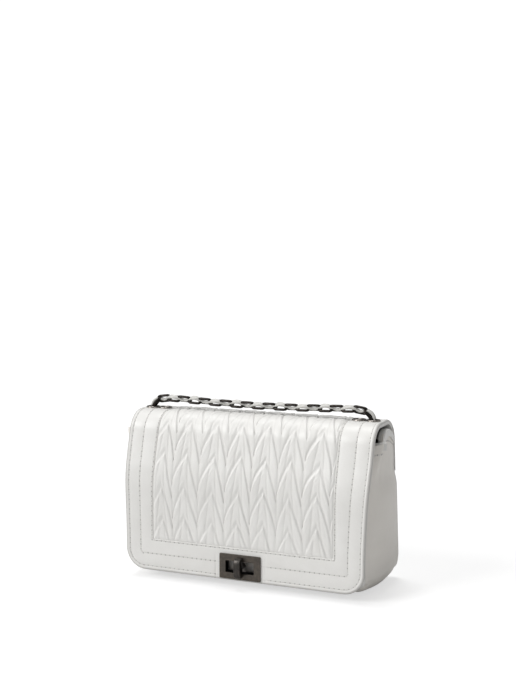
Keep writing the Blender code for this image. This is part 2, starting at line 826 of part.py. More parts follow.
def lock_plates():
    window = rounded_rectangle(WINDOW_WIDTH / 2, WINDOW_HEIGHT / 2, WINDOW_CORNER_RADIUS)
    collar = rounded_rectangle(
        WINDOW_WIDTH / 2 + COLLAR_WALL, WINDOW_HEIGHT / 2 + COLLAR_WALL, WINDOW_CORNER_RADIUS
    )
    rim = rounded_rectangle(LOCK_WIDTH / 2, LOCK_HEIGHT / 2, LOCK_CORNER_RADIUS)
    face = rounded_rectangle(LOCK_WIDTH / 2 - LOCK_BEVEL, LOCK_HEIGHT / 2 - LOCK_BEVEL, LOCK_CORNER_RADIUS)
    window_face = rounded_rectangle(
        WINDOW_WIDTH / 2 + LOCK_BEVEL, WINDOW_HEIGHT / 2 + LOCK_BEVEL, WINDOW_CORNER_RADIUS
    )
    back = -GAP
    front = back - LOCK_PLATE_THICKNESS
    collar_end = -FLAP_INNER + GAP + BACK_PLATE_THICKNESS
    ring_solid(
        "lock_frame_plate", dark_metal("lock_frame_plate"),
        [
            (window, collar_end), (window, front + LOCK_BEVEL), (window_face, front), (face, front),
            (rim, front + LOCK_BEVEL), (rim, back), (collar, back), (collar, collar_end),
        ],
        lock_frame(0.0),
    )
    half_width = LOCK_WIDTH / 2 - BACK_PLATE_MARGIN
    half_height = LOCK_HEIGHT / 2 - BACK_PLATE_MARGIN
    plate = rounded_rectangle(half_width, half_height, LOCK_CORNER_RADIUS)
    hole = rounded_rectangle(HOLE_HALF_WIDTH, HOLE_HALF_HEIGHT, WINDOW_CORNER_RADIUS)
    near = -FLAP_INNER + GAP
    far = near + BACK_PLATE_THICKNESS
    ring_solid(
        "lock_frame_back", dark_metal("lock_frame_back"),
        [(hole, far), (hole, near), (plate, near), (plate, far)], lock_frame(0.0),
    )
    stem_hole = STEM_RADIUS + STEM_CLEARANCE
    steps = 3
    round_hole = rounded_rectangle(stem_hole, stem_hole, stem_hole, steps)
    base = rounded_rectangle(BASE_PLATE_WIDTH / 2, BASE_PLATE_HEIGHT / 2, LOCK_CORNER_RADIUS, steps)
    far = BODY_STANDOFF - GAP
    near = far - BASE_PLATE_THICKNESS
    ring_solid(
        "lock_base_plate", dark_metal("lock_base_plate"),
        [(round_hole, far), (round_hole, near), (base, near), (base, far)], lock_frame(0.0),
    )
    washer = rounded_rectangle(BACKING_WASHER_WIDTH / 2, BACKING_WASHER_HEIGHT / 2, LOCK_CORNER_RADIUS, steps)
    near = BODY_STANDOFF + PANEL_THICKNESS + GAP
    far = near + BACKING_WASHER_THICKNESS
    ring_solid(
        "lock_backing_washer", dark_metal("lock_backing_washer"),
        [(round_hole, far), (round_hole, near), (washer, near), (washer, far)], lock_frame(0.0),
    )


def lock_knob():
    """The bow-shaped turning key, upright when locked, with its stem and riveted end in one."""
    back = -GAP - LOCK_PLATE_THICKNESS - GAP
    half = KNOB_LENGTH / 2
    outline = [(half, back), (half, back - KNOB_END_HEIGHT)]
    for step in range(1, KNOB_ARC_POINTS):
        angle = math.pi * step / KNOB_ARC_POINTS
        rise = KNOB_END_HEIGHT + (KNOB_STAND_OUT - KNOB_END_HEIGHT) * math.sin(angle)
        outline.append((half * math.cos(angle), back - rise))
    outline += [(-half, back - KNOB_END_HEIGHT), (-half, back)]
    loops = []
    for x in (-KNOB_THICKNESS / 2, KNOB_THICKNESS / 2):
        loops.append([Vector((x, FLAP_FACE_Y + depth, LOCK_CENTRE_HEIGHT + up)) for up, depth in outline])
    made = skin("lock_knob", dark_metal("lock_knob"), loops)
    bevel = made.modifiers.new("Edges", "BEVEL")
    bevel.width = KNOB_BEVEL
    bevel.segments = 2
    bevel.limit_method = "ANGLE"
    bevel.angle_limit = math.radians(40)
    washer_far = BODY_STANDOFF + PANEL_THICKNESS + GAP + BACKING_WASHER_THICKNESS
    centre = Vector((0.0, FLAP_FACE_Y, LOCK_CENTRE_HEIGHT))
    inside_head = centre + Vector((0.0, back - KNOB_END_HEIGHT / 2, 0.0))
    head_start = centre + Vector((0.0, washer_far + GAP, 0.0))
    head_end = head_start + Vector((0.0, RIVET_HEAD_THICKNESS, 0.0))
    stem_end = (head_start + head_end) / 2
    cut(made, cylinder_mesh("stem", STEM_RADIUS, inside_head, stem_end, STEM_SIDES), "UNION")
    cut(made, cylinder_mesh("rivet_head", RIVET_HEAD_RADIUS, head_start, head_end, STEM_SIDES), "UNION")


# Chain strap


def strap_joints():
    """The points where one link hangs in the next, from the left eyelet over the top to the right one."""
    crown = OUTER.at(EYELET_PLACE)[0].y
    x = EYELET_OUTER_X
    first = Vector((x, EYELET_Y, crown + FIRST_JOINT_ABOVE_CROWN))
    right = [first - Vector((0.0, 0.0, LINK_PITCH)), first]
    for angle in (FIRST_RISE_ANGLE, SECOND_RISE_ANGLE):
        step = Vector((-math.cos(angle), 0.0, math.sin(angle))) * LINK_PITCH
        right.append(right[-1] + step)
    end = right[-1]
    links = math.ceil(2 * end.x / LINK_PITCH_TAUT)
    links += 1 - links % 2
    run = []
    for link in range(1, links):
        share = link / links
        sag = RUN_SAG * math.sin(math.pi * share)
        run.append(Vector((end.x * (2 * share - 1), EYELET_Y, end.z - sag)))
    left = [Vector((-joint.x, joint.y, joint.z)) for joint in right]
    return left + run + list(reversed(right))


def link_mesh():
    """One oval link: a round wire swept along two straights and two half circles, its length along X."""
    bend = (LINK_INNER_WIDTH + LINK_WIRE) / 2
    straight = LINK_INNER_LENGTH / 2 - LINK_INNER_WIDTH / 2
    centres = []
    for side in (1, -1):
        for step in range(LINK_BEND_STEPS + 1):
            angle = -math.pi / 2 + math.pi * step / LINK_BEND_STEPS
            spoke = Vector((math.cos(angle), math.sin(angle), 0.0)) * side
            centres.append((Vector((side * straight, 0.0, 0.0)) + spoke * bend, spoke))
    vertices = []
    for centre, spoke in centres:
        for corner in range(LINK_WIRE_SIDES):
            angle = math.tau * corner / LINK_WIRE_SIDES
            ring = spoke * math.cos(angle) + Vector((0.0, 0.0, math.sin(angle)))
            vertices.append(centre + ring * (LINK_WIRE / 2))
    faces = []
    for ring in range(len(centres)):
        following = (ring + 1) % len(centres)
        for corner in range(LINK_WIRE_SIDES):
            after = (corner + 1) % LINK_WIRE_SIDES
            faces.append([
                ring * LINK_WIRE_SIDES + corner, ring * LINK_WIRE_SIDES + after,
                following * LINK_WIRE_SIDES + after, following * LINK_WIRE_SIDES + corner,
            ])
    return vertices, faces


def link_frame(start, end, flat):
    """Places a link between two joints; a flat link lies level, and the others stand on edge."""
    along = (end - start).normalized()
    level_way = Vector((0.0, 1.0, 0.0))
    upright = along.cross(level_way)
    across, normal = (level_way, along.cross(level_way)) if flat else (upright, along.cross(upright))
    turn = Matrix((along, across, normal)).transposed().to_4x4()
    return Matrix.Translation((start + end) / 2) @ turn


def chain_links():
    joints = strap_joints()
    points, faces = link_mesh()
    for number in range(len(joints) - 1):
        frame = link_frame(joints[number], joints[number + 1], number % 2 == 1)
        name = "chain_link_%02d" % (number + 1)
        solid_from(name, [frame @ point for point in points], faces, dark_metal(name))


def leather_lace():
    """A soft lace that passes through every link, and over each joint on alternate sides."""
    joints = strap_joints()
    centres = []
    total = (len(joints) - 1) * LACE_STEPS
    for number in range(LACE_STEPS * 2 - 1, total - LACE_STEPS * 2 + 2):
        link = min(number // LACE_STEPS, len(joints) - 2)
        share = number / LACE_STEPS - link
        along = (joints[link + 1] - joints[link]).normalized()
        before = (joints[max(link, 1)] - joints[max(link, 1) - 1]).normalized()
        after_link = min(link + 1, len(joints) - 2)
        after = (joints[after_link + 1] - joints[after_link]).normalized()
        blend = before.lerp(along, min(1.0, share + 0.5)) if share < 0.5 else along.lerp(after, share - 0.5)
        level_way = Vector((0.0, 1.0, 0.0))
        upright = blend.normalized().cross(level_way)
        sway = LACE_SWAY * math.cos(math.pi * number / LACE_STEPS)
        middle = joints[link].lerp(joints[link + 1], share)
        centres.append(middle + (level_way - upright) * (sway / math.sqrt(2)))
    tube("leather_lace", white_leather("leather_lace"), centres, LACE_RADIUS, LACE_SIDES)


def tube(name, finish, centres, radius, sides, tangents=None):
    """A round tube with filled ends through a list of points."""
    loops = []
    upright = None
    for index, centre in enumerate(centres):
        before = centres[max(index - 1, 0)]
        after = centres[min(index + 1, len(centres) - 1)]
        along = tangents[index] if tangents else (after - before).normalized()
        if upright is None:
            upright = along.orthogonal().normalized()
        upright = (upright - along * upright.dot(along)).normalized()
        across = along.cross(upright)
        angles = [math.tau * corner / sides for corner in range(sides)]
        ring = [upright * math.cos(angle) + across * math.sin(angle) for angle in angles]
        loops.append([centre + spoke * radius for spoke in ring])
    return skin(name, finish, loops)


def smooth_line(points, steps):
    """Points on a smooth curve through the given ones."""
    padded = [points[0] * 2 - points[1]] + points + [points[-1] * 2 - points[-2]]
    found = []
    for index in range(1, len(padded) - 2):
        a, b, c, d = padded[index - 1:index + 3]
        for step in range(steps):
            t = step / steps
            found.append(
                ((b * 2) + (c - a) * t + (a * 2 - b * 5 + c * 4 - d) * t ** 2
                 + (b * 3 - a - c * 3 + d) * t ** 3) / 2
            )
    return found + [points[-1]]


# The strap's hidden route on the right side, by hand, as shares of three ways: along the outline, with 0 at
# the eyelet, 1 at the fold and 2 at the base; from the eyelet to its place beside the lining; and its depth
STRAP_ROUTE_SHARES = [
    (0.052, 0.145, 1.0), (0.232, 0.444, 1.02), (0.541, 0.766, 1.1), (0.94, 0.935, 1.07),
    (1.08, 0.984, 1.0), (1.139, 1.0, 0.9), (1.217, 1.0, 0.88), (1.41, 1.02, 0.9),
    (1.604, 1.07, 0.94), (1.764, 1.17, 1.07), (1.858, 1.31, 1.43),
]
ROUTE_STEPS = 2
UNDER_STEPS = 4
FOLD_STEPS = 6
HANK_CENTRE_SHARE = 0.66


def strap_place(way, across, depth):
    """A point of the hidden strap's middle line on the right side."""
    if way < 1:
        along = EYELET_PLACE + (BACK_FOLD - EYELET_PLACE) * way
    else:
        along = BACK_FOLD + (OUTER.length - BACK_FOLD) * (way - 1)
    beside = BODY_WIDTH / 2 - STRAP_SIDE_SPACE
    return on_outline(EYELET_OUTER_X + (beside - EYELET_OUTER_X) * across, along, -depth * STRAP_DEPTH)


def stowed_strap():
    """The length that is put away: plain runs from each eyelet, and one hank on the lining's floor."""
    floor = GUSSET_THICKNESS + LINING_SLACK + LINING_THICKNESS + GAP
    middle = Vector((0.0, FLAP_FACE_Y + HANK_CENTRE_SHARE * BAG_DEPTH, floor + HANK_HEIGHT / 2))
    half_length = BODY_WIDTH / 2 - HANK_END_SPACE
    route = [strap_place(*shares) for shares in STRAP_ROUTE_SHARES]
    route.append(middle + Vector((half_length + HANK_ENTRY, HANK_WIDTH / 8, 0.0)))
    for side, word in ((-1, "left"), (1, "right")):
        line = smooth_line([Vector((side * place.x, place.y, place.z)) for place in route], ROUTE_STEPS)
        tangents = []
        for index in range(len(line)):
            before = line[max(index - 1, 0)]
            after = line[min(index + 1, len(line) - 1)]
            tangents.append((after - before).normalized())
        cuts = [0, UNDER_STEPS, UNDER_STEPS + FOLD_STEPS, len(line) - 1]
        for name, first, last in zip(("strap_under_", "strap_fold_", "strap_drop_"), cuts, cuts[1:]):
            run = line[first:last + 1]
            run[0] = run[0] + tangents[first] * (GAP / 2)
            run[-1] = run[-1] - tangents[last] * (GAP / 2)
            ways = tangents[first:last + 1]
            tube(name + word, dark_metal(name + word), run, STRAP_DIAMETER / 2, 8, ways)
    corner = HANK_HEIGHT / 3
    profile = rounded_rectangle(HANK_WIDTH / 2, HANK_HEIGHT / 2, corner, 2)
    loops = []
    for x in (-half_length, half_length):
        loops.append([middle + Vector((x, across, up)) for across, up in profile])
    skin("strap_hank", dark_metal("strap_hank"), loops)


# Joint axes


def hang_on(axis_name, place, names):
    """Gives moving pieces a parent empty on their joint's axis, and leaves them where they are."""
    axis = bpy.data.objects.new(axis_name, None)
    axis.location = place
    bpy.context.scene.collection.objects.link(axis)
    for name in names:
        piece = bpy.data.objects[name]
        piece.parent = axis
        piece.matrix_parent_inverse = Matrix.Translation(-place)


def joint_axes():
    """The two fold lines, just over the pleats, and the turning key's stem."""
    lift = PLEAT_RISE + FOLD_LIFT
    crown = ["crown_lining", "crown_border_left", "crown_border_right", "crown_pleats", "leather_lace"]
    crown += [kind + name for kind in ("eyelet_", "eyelet_washer_") for name in EYELET_PLACES]
    crown += ["chain_link_%02d" % (number + 1) for number in range(len(strap_joints()) - 1)]
    crown += ["strap_under_left", "strap_under_right"]
    hang_on("back_fold_axis", on_outline(0.0, BACK_FOLD, lift), crown)
    front = ["flap_border", "flap_lining", "pleated_panel", "lock_frame_plate", "lock_frame_back"]
    hang_on("front_fold_axis", on_outline(0.0, FRONT_FOLD, lift), front)
    hang_on("knob_axis", Vector((0.0, FLAP_FACE_Y, LOCK_CENTRE_HEIGHT)), ["lock_knob"])


def clear_scene():
    for old in list(bpy.data.objects):
        bpy.data.objects.remove(old, do_unlink=True)


clear_scene()
front_panel()
back_panel()
gusset_strip()
lining_bag()
bindings()
flap_pieces()
eyelets()
lock_plates()
lock_knob()
chain_links()
leather_lace()
stowed_strap()
joint_axes()
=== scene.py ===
"""Crossbody bag in white leather: the finished looks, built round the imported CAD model. Metres."""

import math

import bmesh
import bpy
import numpy as np
from mathutils import Matrix, Vector

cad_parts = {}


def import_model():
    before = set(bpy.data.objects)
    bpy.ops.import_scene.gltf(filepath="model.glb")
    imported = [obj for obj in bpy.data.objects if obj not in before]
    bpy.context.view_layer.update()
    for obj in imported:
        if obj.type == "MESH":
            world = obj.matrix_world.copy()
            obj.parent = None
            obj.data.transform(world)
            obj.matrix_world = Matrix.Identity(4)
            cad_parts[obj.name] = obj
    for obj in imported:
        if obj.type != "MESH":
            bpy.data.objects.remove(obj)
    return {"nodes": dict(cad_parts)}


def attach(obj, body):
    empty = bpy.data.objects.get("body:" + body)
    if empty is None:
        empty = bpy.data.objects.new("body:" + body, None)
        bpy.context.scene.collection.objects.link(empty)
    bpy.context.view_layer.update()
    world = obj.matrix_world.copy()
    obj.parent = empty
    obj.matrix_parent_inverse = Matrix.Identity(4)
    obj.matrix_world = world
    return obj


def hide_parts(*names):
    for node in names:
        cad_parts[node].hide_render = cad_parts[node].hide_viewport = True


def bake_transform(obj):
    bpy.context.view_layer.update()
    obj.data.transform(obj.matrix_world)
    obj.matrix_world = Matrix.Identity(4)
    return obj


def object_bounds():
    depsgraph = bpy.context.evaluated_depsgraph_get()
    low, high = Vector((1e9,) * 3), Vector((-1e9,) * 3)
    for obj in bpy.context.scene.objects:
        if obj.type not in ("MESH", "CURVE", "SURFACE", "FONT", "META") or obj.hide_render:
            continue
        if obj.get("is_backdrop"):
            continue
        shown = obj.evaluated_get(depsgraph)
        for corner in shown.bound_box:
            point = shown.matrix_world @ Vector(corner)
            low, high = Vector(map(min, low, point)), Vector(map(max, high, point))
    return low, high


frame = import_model()
CAD_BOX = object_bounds()
MM = 0.001

# Sizes as in the CAD source
BODY_WIDTH = 0.244
PANEL_THICKNESS = 0.0025
MOUTH_HEIGHT = 0.143
GUSSET_THICKNESS = 0.0022
LINING_THICKNESS = 0.0010
LINING_STANDOFF = 0.0029
LINING_SLACK = 0.0009
LINING_DROP = 0.0020
BINDING_THICKNESS = 0.0009
BINDING_DEPTH = 0.0060
HEM_HEIGHT = 0.007
SHOULDER_HEIGHT = 0.100
CROWN_HEIGHT = 0.1635
BAG_DEPTH = 0.097
CORNER_INSETS = (0.0175, 0.079)
CORNER_RADII = (0.110, 0.024, 0.026)
FLAP_WIDTH = 0.250
FLAP_CORNER_RADIUS = 0.021
FLAP_FACE_Y = -0.0436
BODY_STANDOFF = 0.0075
FLAP_INNER = -0.0040
BACK_FOLD_SHARE = 0.62
EYELET_INSET = 0.007
EYELET_PITCH = 0.0142
EYELET_RADIUS = 0.0069
EYELET_BORE_RADIUS = 0.0044
EYELET_WALL = 0.0006
EYELET_RIM_HEIGHT = 0.0014
WASHER_THICKNESS = 0.0008  # of the eyelets' and the stem's washers and the frame's back plate
EYELET_BARREL_END = 0.0012
LINK_WIRE = 0.0019
LINK_INNER_WIDTH = 0.0042
LINK_INNER_LENGTH = 0.0121
LINK_PITCH = 0.0113
LINK_PITCH_TAUT = 0.0119
FIRST_JOINT_ABOVE_CROWN = 0.0008
RUN_SAG = 0.0026
STRAP_DEPTH = 0.0125
STRAP_SIDE_SPACE = 0.0164
LOCK_WIDTH = 0.0428
LOCK_HEIGHT = 0.0243
LOCK_CENTRE_HEIGHT = 0.021
LOCK_PLATE_THICKNESS = 0.0018
WINDOW_WIDTH = 0.0295
WINDOW_HEIGHT = 0.0115
KNOB_LENGTH = 0.0194
KNOB_STAND_OUT = 0.0074
KNOB_END_HEIGHT = 0.0030
STEM_RADIUS = 0.0026
RIVET_HEAD_RADIUS = 0.0042
GAP = 0.0003

# Sizes that differ for the looks: the CAD has a corner of 20 mm, a bulge of 7 mm, a knob 5.8 mm wide and
# wire of 1.9 mm
CORNER_RADIUS = 0.014
GUSSET_BULGE = 0.0045
KNOB_THICKNESS = 0.0068
WIRE_LOOK = 0.0026


def smooth(low, high, value):
    """Rises smoothly from 0 to 1 between two values."""
    share = np.clip((np.asarray(value, float) - low) / (high - low), 0.0, 1.0)
    return share * share * (3 - 2 * share)


def smooth_mm(low, high, length):
    """Rises smoothly from 0 to 1 between two lengths in millimetres."""
    return smooth(low * MM, high * MM, length)


def bell(distance, width):
    """1 on a line, falling to nothing a few widths away from it."""
    return np.exp(-(distance / width) ** 2)


def halved(low, high, is_before):
    """Where a test changes from true to false between two places."""
    for _ in range(40):
        middle = (low + high) / 2
        low, high = (middle, high) if is_before(middle) else (low, middle)
    return (low + high) / 2


class Outline:
    """A line of straight runs and tangent arcs in the YZ plane, read by its length along the line."""

    def __init__(self, corners, radii):
        self.pieces = []
        points = [Vector(corner) for corner in corners]
        start = points[0]
        for last, corner, following, radius in zip(points, points[1:], points[2:], radii):
            before, after = (corner - last).normalized(), (following - corner).normalized()
            turn = before.angle_signed(after)
            reach = radius * math.tan(abs(turn) / 2)
            arc_start = corner - before * reach
            inward = Vector((before.y, -before.x)) * math.copysign(1, turn)
            self.pieces.append(((arc_start - start).length, start, before))
            self.pieces.append((radius * abs(turn), arc_start + inward * radius, -inward, radius, turn))
            start = corner + after * reach
        self.pieces.append(((points[-1] - start).length, start, (points[-1] - start).normalized()))
        self.length = sum(piece[0] for piece in self.pieces)

    def at(self, distance):
        """The point at this distance along, and the direction that points out of the bag there."""
        left = max(0.0, min(distance, self.length))
        for index, piece in enumerate(self.pieces):
            if left <= piece[0] or index == len(self.pieces) - 1:
                break
            left -= piece[0]
        if len(piece) == 3:
            _, start, along = piece
            return start + along * left, Vector((-along.y, along.x))
        length, centre, first, radius, turn = piece
        cos, sin = math.cos(turn * left / length), math.sin(turn * left / length)
        spoke = Vector((first.x * cos + first.y * sin, first.y * cos - first.x * sin))
        return centre + spoke * radius, spoke if turn > 0 else -spoke

    def arc_place(self, number, share):
        """The distance at a share of the way round one of the arcs, which are every second piece."""
        index = 2 * number + 1
        return sum(piece[0] for piece in self.pieces[:index]) + self.pieces[index][0] * share

    def at_height(self, height, inset, rising=True):
        """Where a face this far inside the line reaches a height, on its way up or on its way down."""
        top = self.arc_place(1, 1.0)

        def is_before(middle):
            place, outward = self.at(middle)
            return (place.y - outward.y * inset < height) == rising

        return halved(0.0, top, is_before) if rising else halved(top, self.length, is_before)


OUTER = Outline([
    (FLAP_FACE_Y, 0.0), (FLAP_FACE_Y, SHOULDER_HEIGHT),
    *[(FLAP_FACE_Y + inset, CROWN_HEIGHT) for inset in CORNER_INSETS], (FLAP_FACE_Y + BAG_DEPTH, 0.0),
], CORNER_RADII)
BACK_FOLD = OUTER.arc_place(2, BACK_FOLD_SHARE)
CUT_LINE = OUTER.arc_place(1, 1.0)
EYELET_PLACE = (CUT_LINE + OUTER.arc_place(2, 0.0)) / 2
EYELET_Y = OUTER.at(EYELET_PLACE)[0].x
EYELET_OUTER_X = FLAP_WIDTH / 2 - EYELET_INSET
EYELET_PLACES = {
    "left_outer": -EYELET_OUTER_X,
    "left_inner": -EYELET_OUTER_X + EYELET_PITCH,
    "right_inner": EYELET_OUTER_X - EYELET_PITCH,
    "right_outer": EYELET_OUTER_X,
}
TABLE_STEP = 0.1 * MM
TABLE_D = np.arange(0.0, OUTER.length + TABLE_STEP, TABLE_STEP)
TABLE = np.array([[*OUTER.at(d)[0], *OUTER.at(d)[1]] for d in TABLE_D])


def world(flat):
    """Points given as across, along the outline, and height over it, as points in the row frame."""
    flat = np.asarray(flat, float)
    y, z, ny, nz = (np.interp(flat[:, 1], TABLE_D, TABLE[:, column]) for column in range(4))
    size = np.hypot(ny, nz)
    return np.stack([flat[:, 0], y + ny / size * flat[:, 2], z + nz / size * flat[:, 2]], 1)


def on_outline(x, distance, height):
    return Vector(world([(x, distance, height)])[0])


FLARE_RIGHT = 4.0 * MM
FLARE_LEFT = 2.2 * MM


def flared(x, d):
    """The flap widens towards the crown, outside its pleated middle."""
    reach = smooth_mm(35, 140, d) * smooth_mm(95.9, 112, np.abs(x))
    return x + np.where(np.asarray(x) > 0, FLARE_RIGHT, -FLARE_LEFT) * reach


def flap_world(flat):
    flat = np.array(flat, float)
    flat[:, 0] = flared(flat[:, 0], flat[:, 1])
    return world(flat)


def eyelet_distances(x, d):
    """How far places on the flap are from each eyelet's middle."""
    return [np.hypot(flared(x, d) - place, d - EYELET_PLACE) for place in EYELET_PLACES.values()]


BODY_FRONT = FLAP_FACE_Y + BODY_STANDOFF
BODY_BACK = FLAP_FACE_Y + BAG_DEPTH
TOE_RADIUS = 16 * MM
TOE_LIFT = 4.5 * MM
HEEL_RADIUS = 15 * MM
HEEL_PINCH = 7 * MM
HEEL_PINCH_HEIGHT = 28 * MM
BACK_SPREAD = 6.0 * MM
BACK_FULLNESS = 2.5 * MM
TINY = 1e-9


def body_shape(points):
    """The soft body: wider towards its back, its lower edges rounded, the front one lifted off the floor."""
    x, y, z = np.array([tuple(point) for point in points], float).T
    half = BODY_WIDTH / 2
    spread = BACK_SPREAD + BACK_FULLNESS * (1 - smooth_mm(95, 115, z))
    back = np.clip((y - BODY_FRONT) / (BODY_BACK - BODY_FRONT), 0, 1)
    x = x * (1 + spread / half * np.sin(np.pi / 2 * back))
    x = x * (1 - HEEL_PINCH / half * np.clip(1 - z / HEEL_PINCH_HEIGHT, 0, 1) ** 2 * back ** 2)
    for radius, edge in ((TOE_RADIUS, BODY_FRONT), (-HEEL_RADIUS, BODY_BACK)):
        p = np.clip(1 - (y - edge) / radius, 0, None)
        q = np.clip(1 - z / abs(radius), 0, None)
        reach = np.maximum(p, q)
        angle = np.where(p >= q, q / np.maximum(p, TINY), 2 - p / np.maximum(q, TINY)) * np.pi / 4
        inside = (p > 0) & (q > 0)
        y = np.where(inside, edge + radius * (1 - reach * np.cos(angle)), y)
        z = np.where(inside, abs(radius) * (1 - reach * np.sin(angle)), z)
    lift = TOE_LIFT * (1 - smooth(BODY_FRONT, 20 * MM, y)) * (1 - smooth(0, 70 * MM, z))
    return np.stack([x, y, z + lift], 1)


def body_world(flat):
    """Flat places on a body panel, kept above the floor, in the body's soft form."""
    placed = world(flat)
    placed[:, 2] = np.maximum(placed[:, 2], 0.0)
    return body_shape(placed)


def inner_y(height, inset, rising=True):
    """Where a face this far inside the outline is, this high above the floor."""
    place, outward = OUTER.at(OUTER.at_height(height, inset, rising))
    return place.x - outward.x * inset


def quarter(steps, first=0):
    """Sine and cosine at even steps over a quarter turn."""
    return [(math.sin(a), math.cos(a)) for a in np.arange(first, steps + 1) * (math.pi / 2 / steps)]


class Wobble:
    """Seeded smooth noise over a plane, about -1 to 1, with features about one cell wide."""

    def __init__(self, seed, cell_x, cell_y):
        self.grid = np.random.default_rng(seed).uniform(-1, 1, (64, 64))
        self.cell = (cell_x, cell_y)

    def __call__(self, x, y):
        u = np.asarray(x, float) / self.cell[0] + 20.0
        v = np.asarray(y, float) / self.cell[1] + 20.0
        column, row = np.floor(u).astype(int), np.floor(v).astype(int)
        s, t = smooth(0, 1, u - column), smooth(0, 1, v - row)
        corner = lambda i, j: self.grid[(column + i) % 64, (row + j) % 64]
        low = corner(0, 0) * (1 - s) + corner(1, 0) * s
        high = corner(0, 1) * (1 - s) + corner(1, 1) * s
        return low * (1 - t) + high * t


# Materials


class Graph:
    """Short calls for making a material's nodes."""

    def __init__(self, name):
        self.material = bpy.data.materials.new(name)
        self.material.use_nodes = True
        self.tree = self.material.node_tree

    def feed(self, node, inputs):
        for key, value in inputs.items():
            if isinstance(value, bpy.types.NodeSocket):
                self.tree.links.new(value, node.inputs[key])
            else:
                node.inputs[key].default_value = value

    def node(self, kind, inputs=(), output=0, **settings):
        """Makes a node, feeds its inputs by name or number, and gives one of its outputs."""
        made = self.tree.nodes.new("ShaderNode" + kind)
        for key, value in settings.items():
            setattr(made, key, value)
        self.feed(made, dict(inputs))
        return made.outputs[output]

    def math(self, operation, *values):
        return self.node("Math", enumerate(values), operation=operation)

    def mix(self, factor, first, second):
        return self.node("Mix", {0: factor, 6: first, 7: second}, 2, data_type="RGBA")

    def noise(self, place, scale, detail=3.0, roughness=0.5):
        return self.node(
            "TexNoise", {"Vector": place, "Scale": scale, "Detail": detail, "Roughness": roughness}, "Fac",
        )

    def ranged(self, *values):
        """A value, its low and high, and what these two become."""
        return self.node("MapRange", enumerate(values))

    def place(self, flat):
        """Positions in metres: over the flat leather, or in space."""
        return self.node("UVMap") if flat else self.node("TexCoord", output="Object")

    def bump(self, height, distance, strength=1.0, **below):
        return self.node("Bump", {"Strength": strength, "Distance": distance, "Height": height, **below})

    def shade(self, colour, roughness, **inputs):
        inputs = {key.replace("_", " "): value for key, value in inputs.items()}
        self.feed(self.tree.nodes["Principled BSDF"], {"Base Color": colour, "Roughness": roughness, **inputs})
        return self.material


def leather(name, flat=True, tint=(1.0, 1.0, 1.0), grain=1.0):
    """Smooth white leather with a fine pebble grain and soft wear, darkened with painted shade where its crease
    attribute is set.
    """
    g = Graph(name)
    place = g.place(flat)
    clean, worn = (
        (*(part * share for part, share in zip(colour, tint)), 1.0)
        for colour in ((0.775, 0.768, 0.745), (0.735, 0.725, 0.70))
    )
    colour = g.mix(g.ranged(g.noise(place, 28.0, 4.0, 0.6), 0.35, 0.7, 0.0, 1.0), clean, worn)
    # Painted shade: the crease attribute darkens the leather towards grey in creases, grooves, sewn lines and along
    # the hem.
    crease = g.node("Attribute", output="Fac", attribute_name="crease")
    cells = g.node("TexVoronoi", {"Scale": 900.0, "Smoothness": 0.6, "Vector": place}, feature="SMOOTH_F1")
    height = g.math("ADD", cells, g.math("MULTIPLY", g.noise(place, 2600.0, 2.0), 0.35))
    swell = g.bump(g.noise(place, 70.0), 0.0005 * grain, 0.5)
    return g.shade(
        g.mix(g.math("MULTIPLY", crease, 0.38), colour, (0.46, 0.45, 0.43, 1.0)),
        g.ranged(g.noise(place, 160.0), 0.3, 0.7, 0.40, 0.52),
        Normal=g.bump(height, 0.00006 * grain, 0.7, Normal=swell), Coat_Weight=0.10, Coat_Roughness=0.35,
    )


def metal(name, colour, roughness, brushed=(1.0, 1.0, 1.0)):
    """Dark gunmetal plating, with fine handling marks, and brushed lines along one axis if asked."""
    g = Graph(name)
    place = g.place(False)
    cloud = g.ranged(g.noise(place, 260.0, 4.0, 0.6), 0.4, 0.75, 0.0, 1.0)
    light = (colour[0] * 1.5, colour[1] * 1.42, colour[2] * 1.35, 1.0)
    marks = g.noise(g.node("Mapping", {"Vector": place, "Scale": brushed}), 2200.0, 3.0, 0.6)
    return g.shade(
        g.mix(cloud, (*colour, 1.0), light), g.ranged(marks, 0.3, 0.7, roughness - 0.06, roughness + 0.10),
        Normal=g.bump(marks, 0.00003, 0.6), Metallic=1.0,
    )


def twill(name):
    """Dark reddish lining cloth in a fine twill weave."""
    g = Graph(name)
    place = g.place(True)
    turned = g.node("Mapping", {"Vector": place, "Rotation": (0.0, 0.0, math.radians(45))})
    ribs = g.node("TexWave", {"Scale": 420.0, "Distortion": 0.6, "Vector": turned}, "Fac")
    return g.shade(
        g.mix(ribs, (0.016, 0.008, 0.008, 1.0), (0.045, 0.020, 0.019, 1.0)),
        g.ranged(g.noise(place, 300.0), 0.3, 0.7, 0.72, 0.9),
        Normal=g.bump(ribs, 0.0002, 0.6), Sheen_Weight=0.25,
    )


def thread(name, colour):
    """Twisted sewing thread."""
    g = Graph(name)
    place = g.place(False)
    colours = (*colour, 1.0), (*[part * 0.8 for part in colour], 1.0)
    twist = g.bump(g.noise(place, 3500.0), 0.00005, 0.8)
    return g.shade(g.mix(g.noise(place, 900.0), *colours), 0.6, Normal=twist)


def plain_floor(name):
    """A pale studio sweep; seen straight on it is lifted towards white, as on a lit table."""
    g = Graph(name)
    seen = g.node("LightPath", output="Is Camera Ray")
    plain = g.mix(g.noise(g.place(False), 3.0), (0.70, 0.70, 0.70, 1.0), (0.71, 0.71, 0.71, 1.0))
    return g.shade(
        g.mix(seen, plain, (0.45, 0.45, 0.45, 1.0)), 0.75, Specular_IOR_Level=0.2,
        Emission_Color=(1.0, 1.0, 1.0, 1.0), Emission_Strength=g.math("MULTIPLY", seen, 0.60),
    )


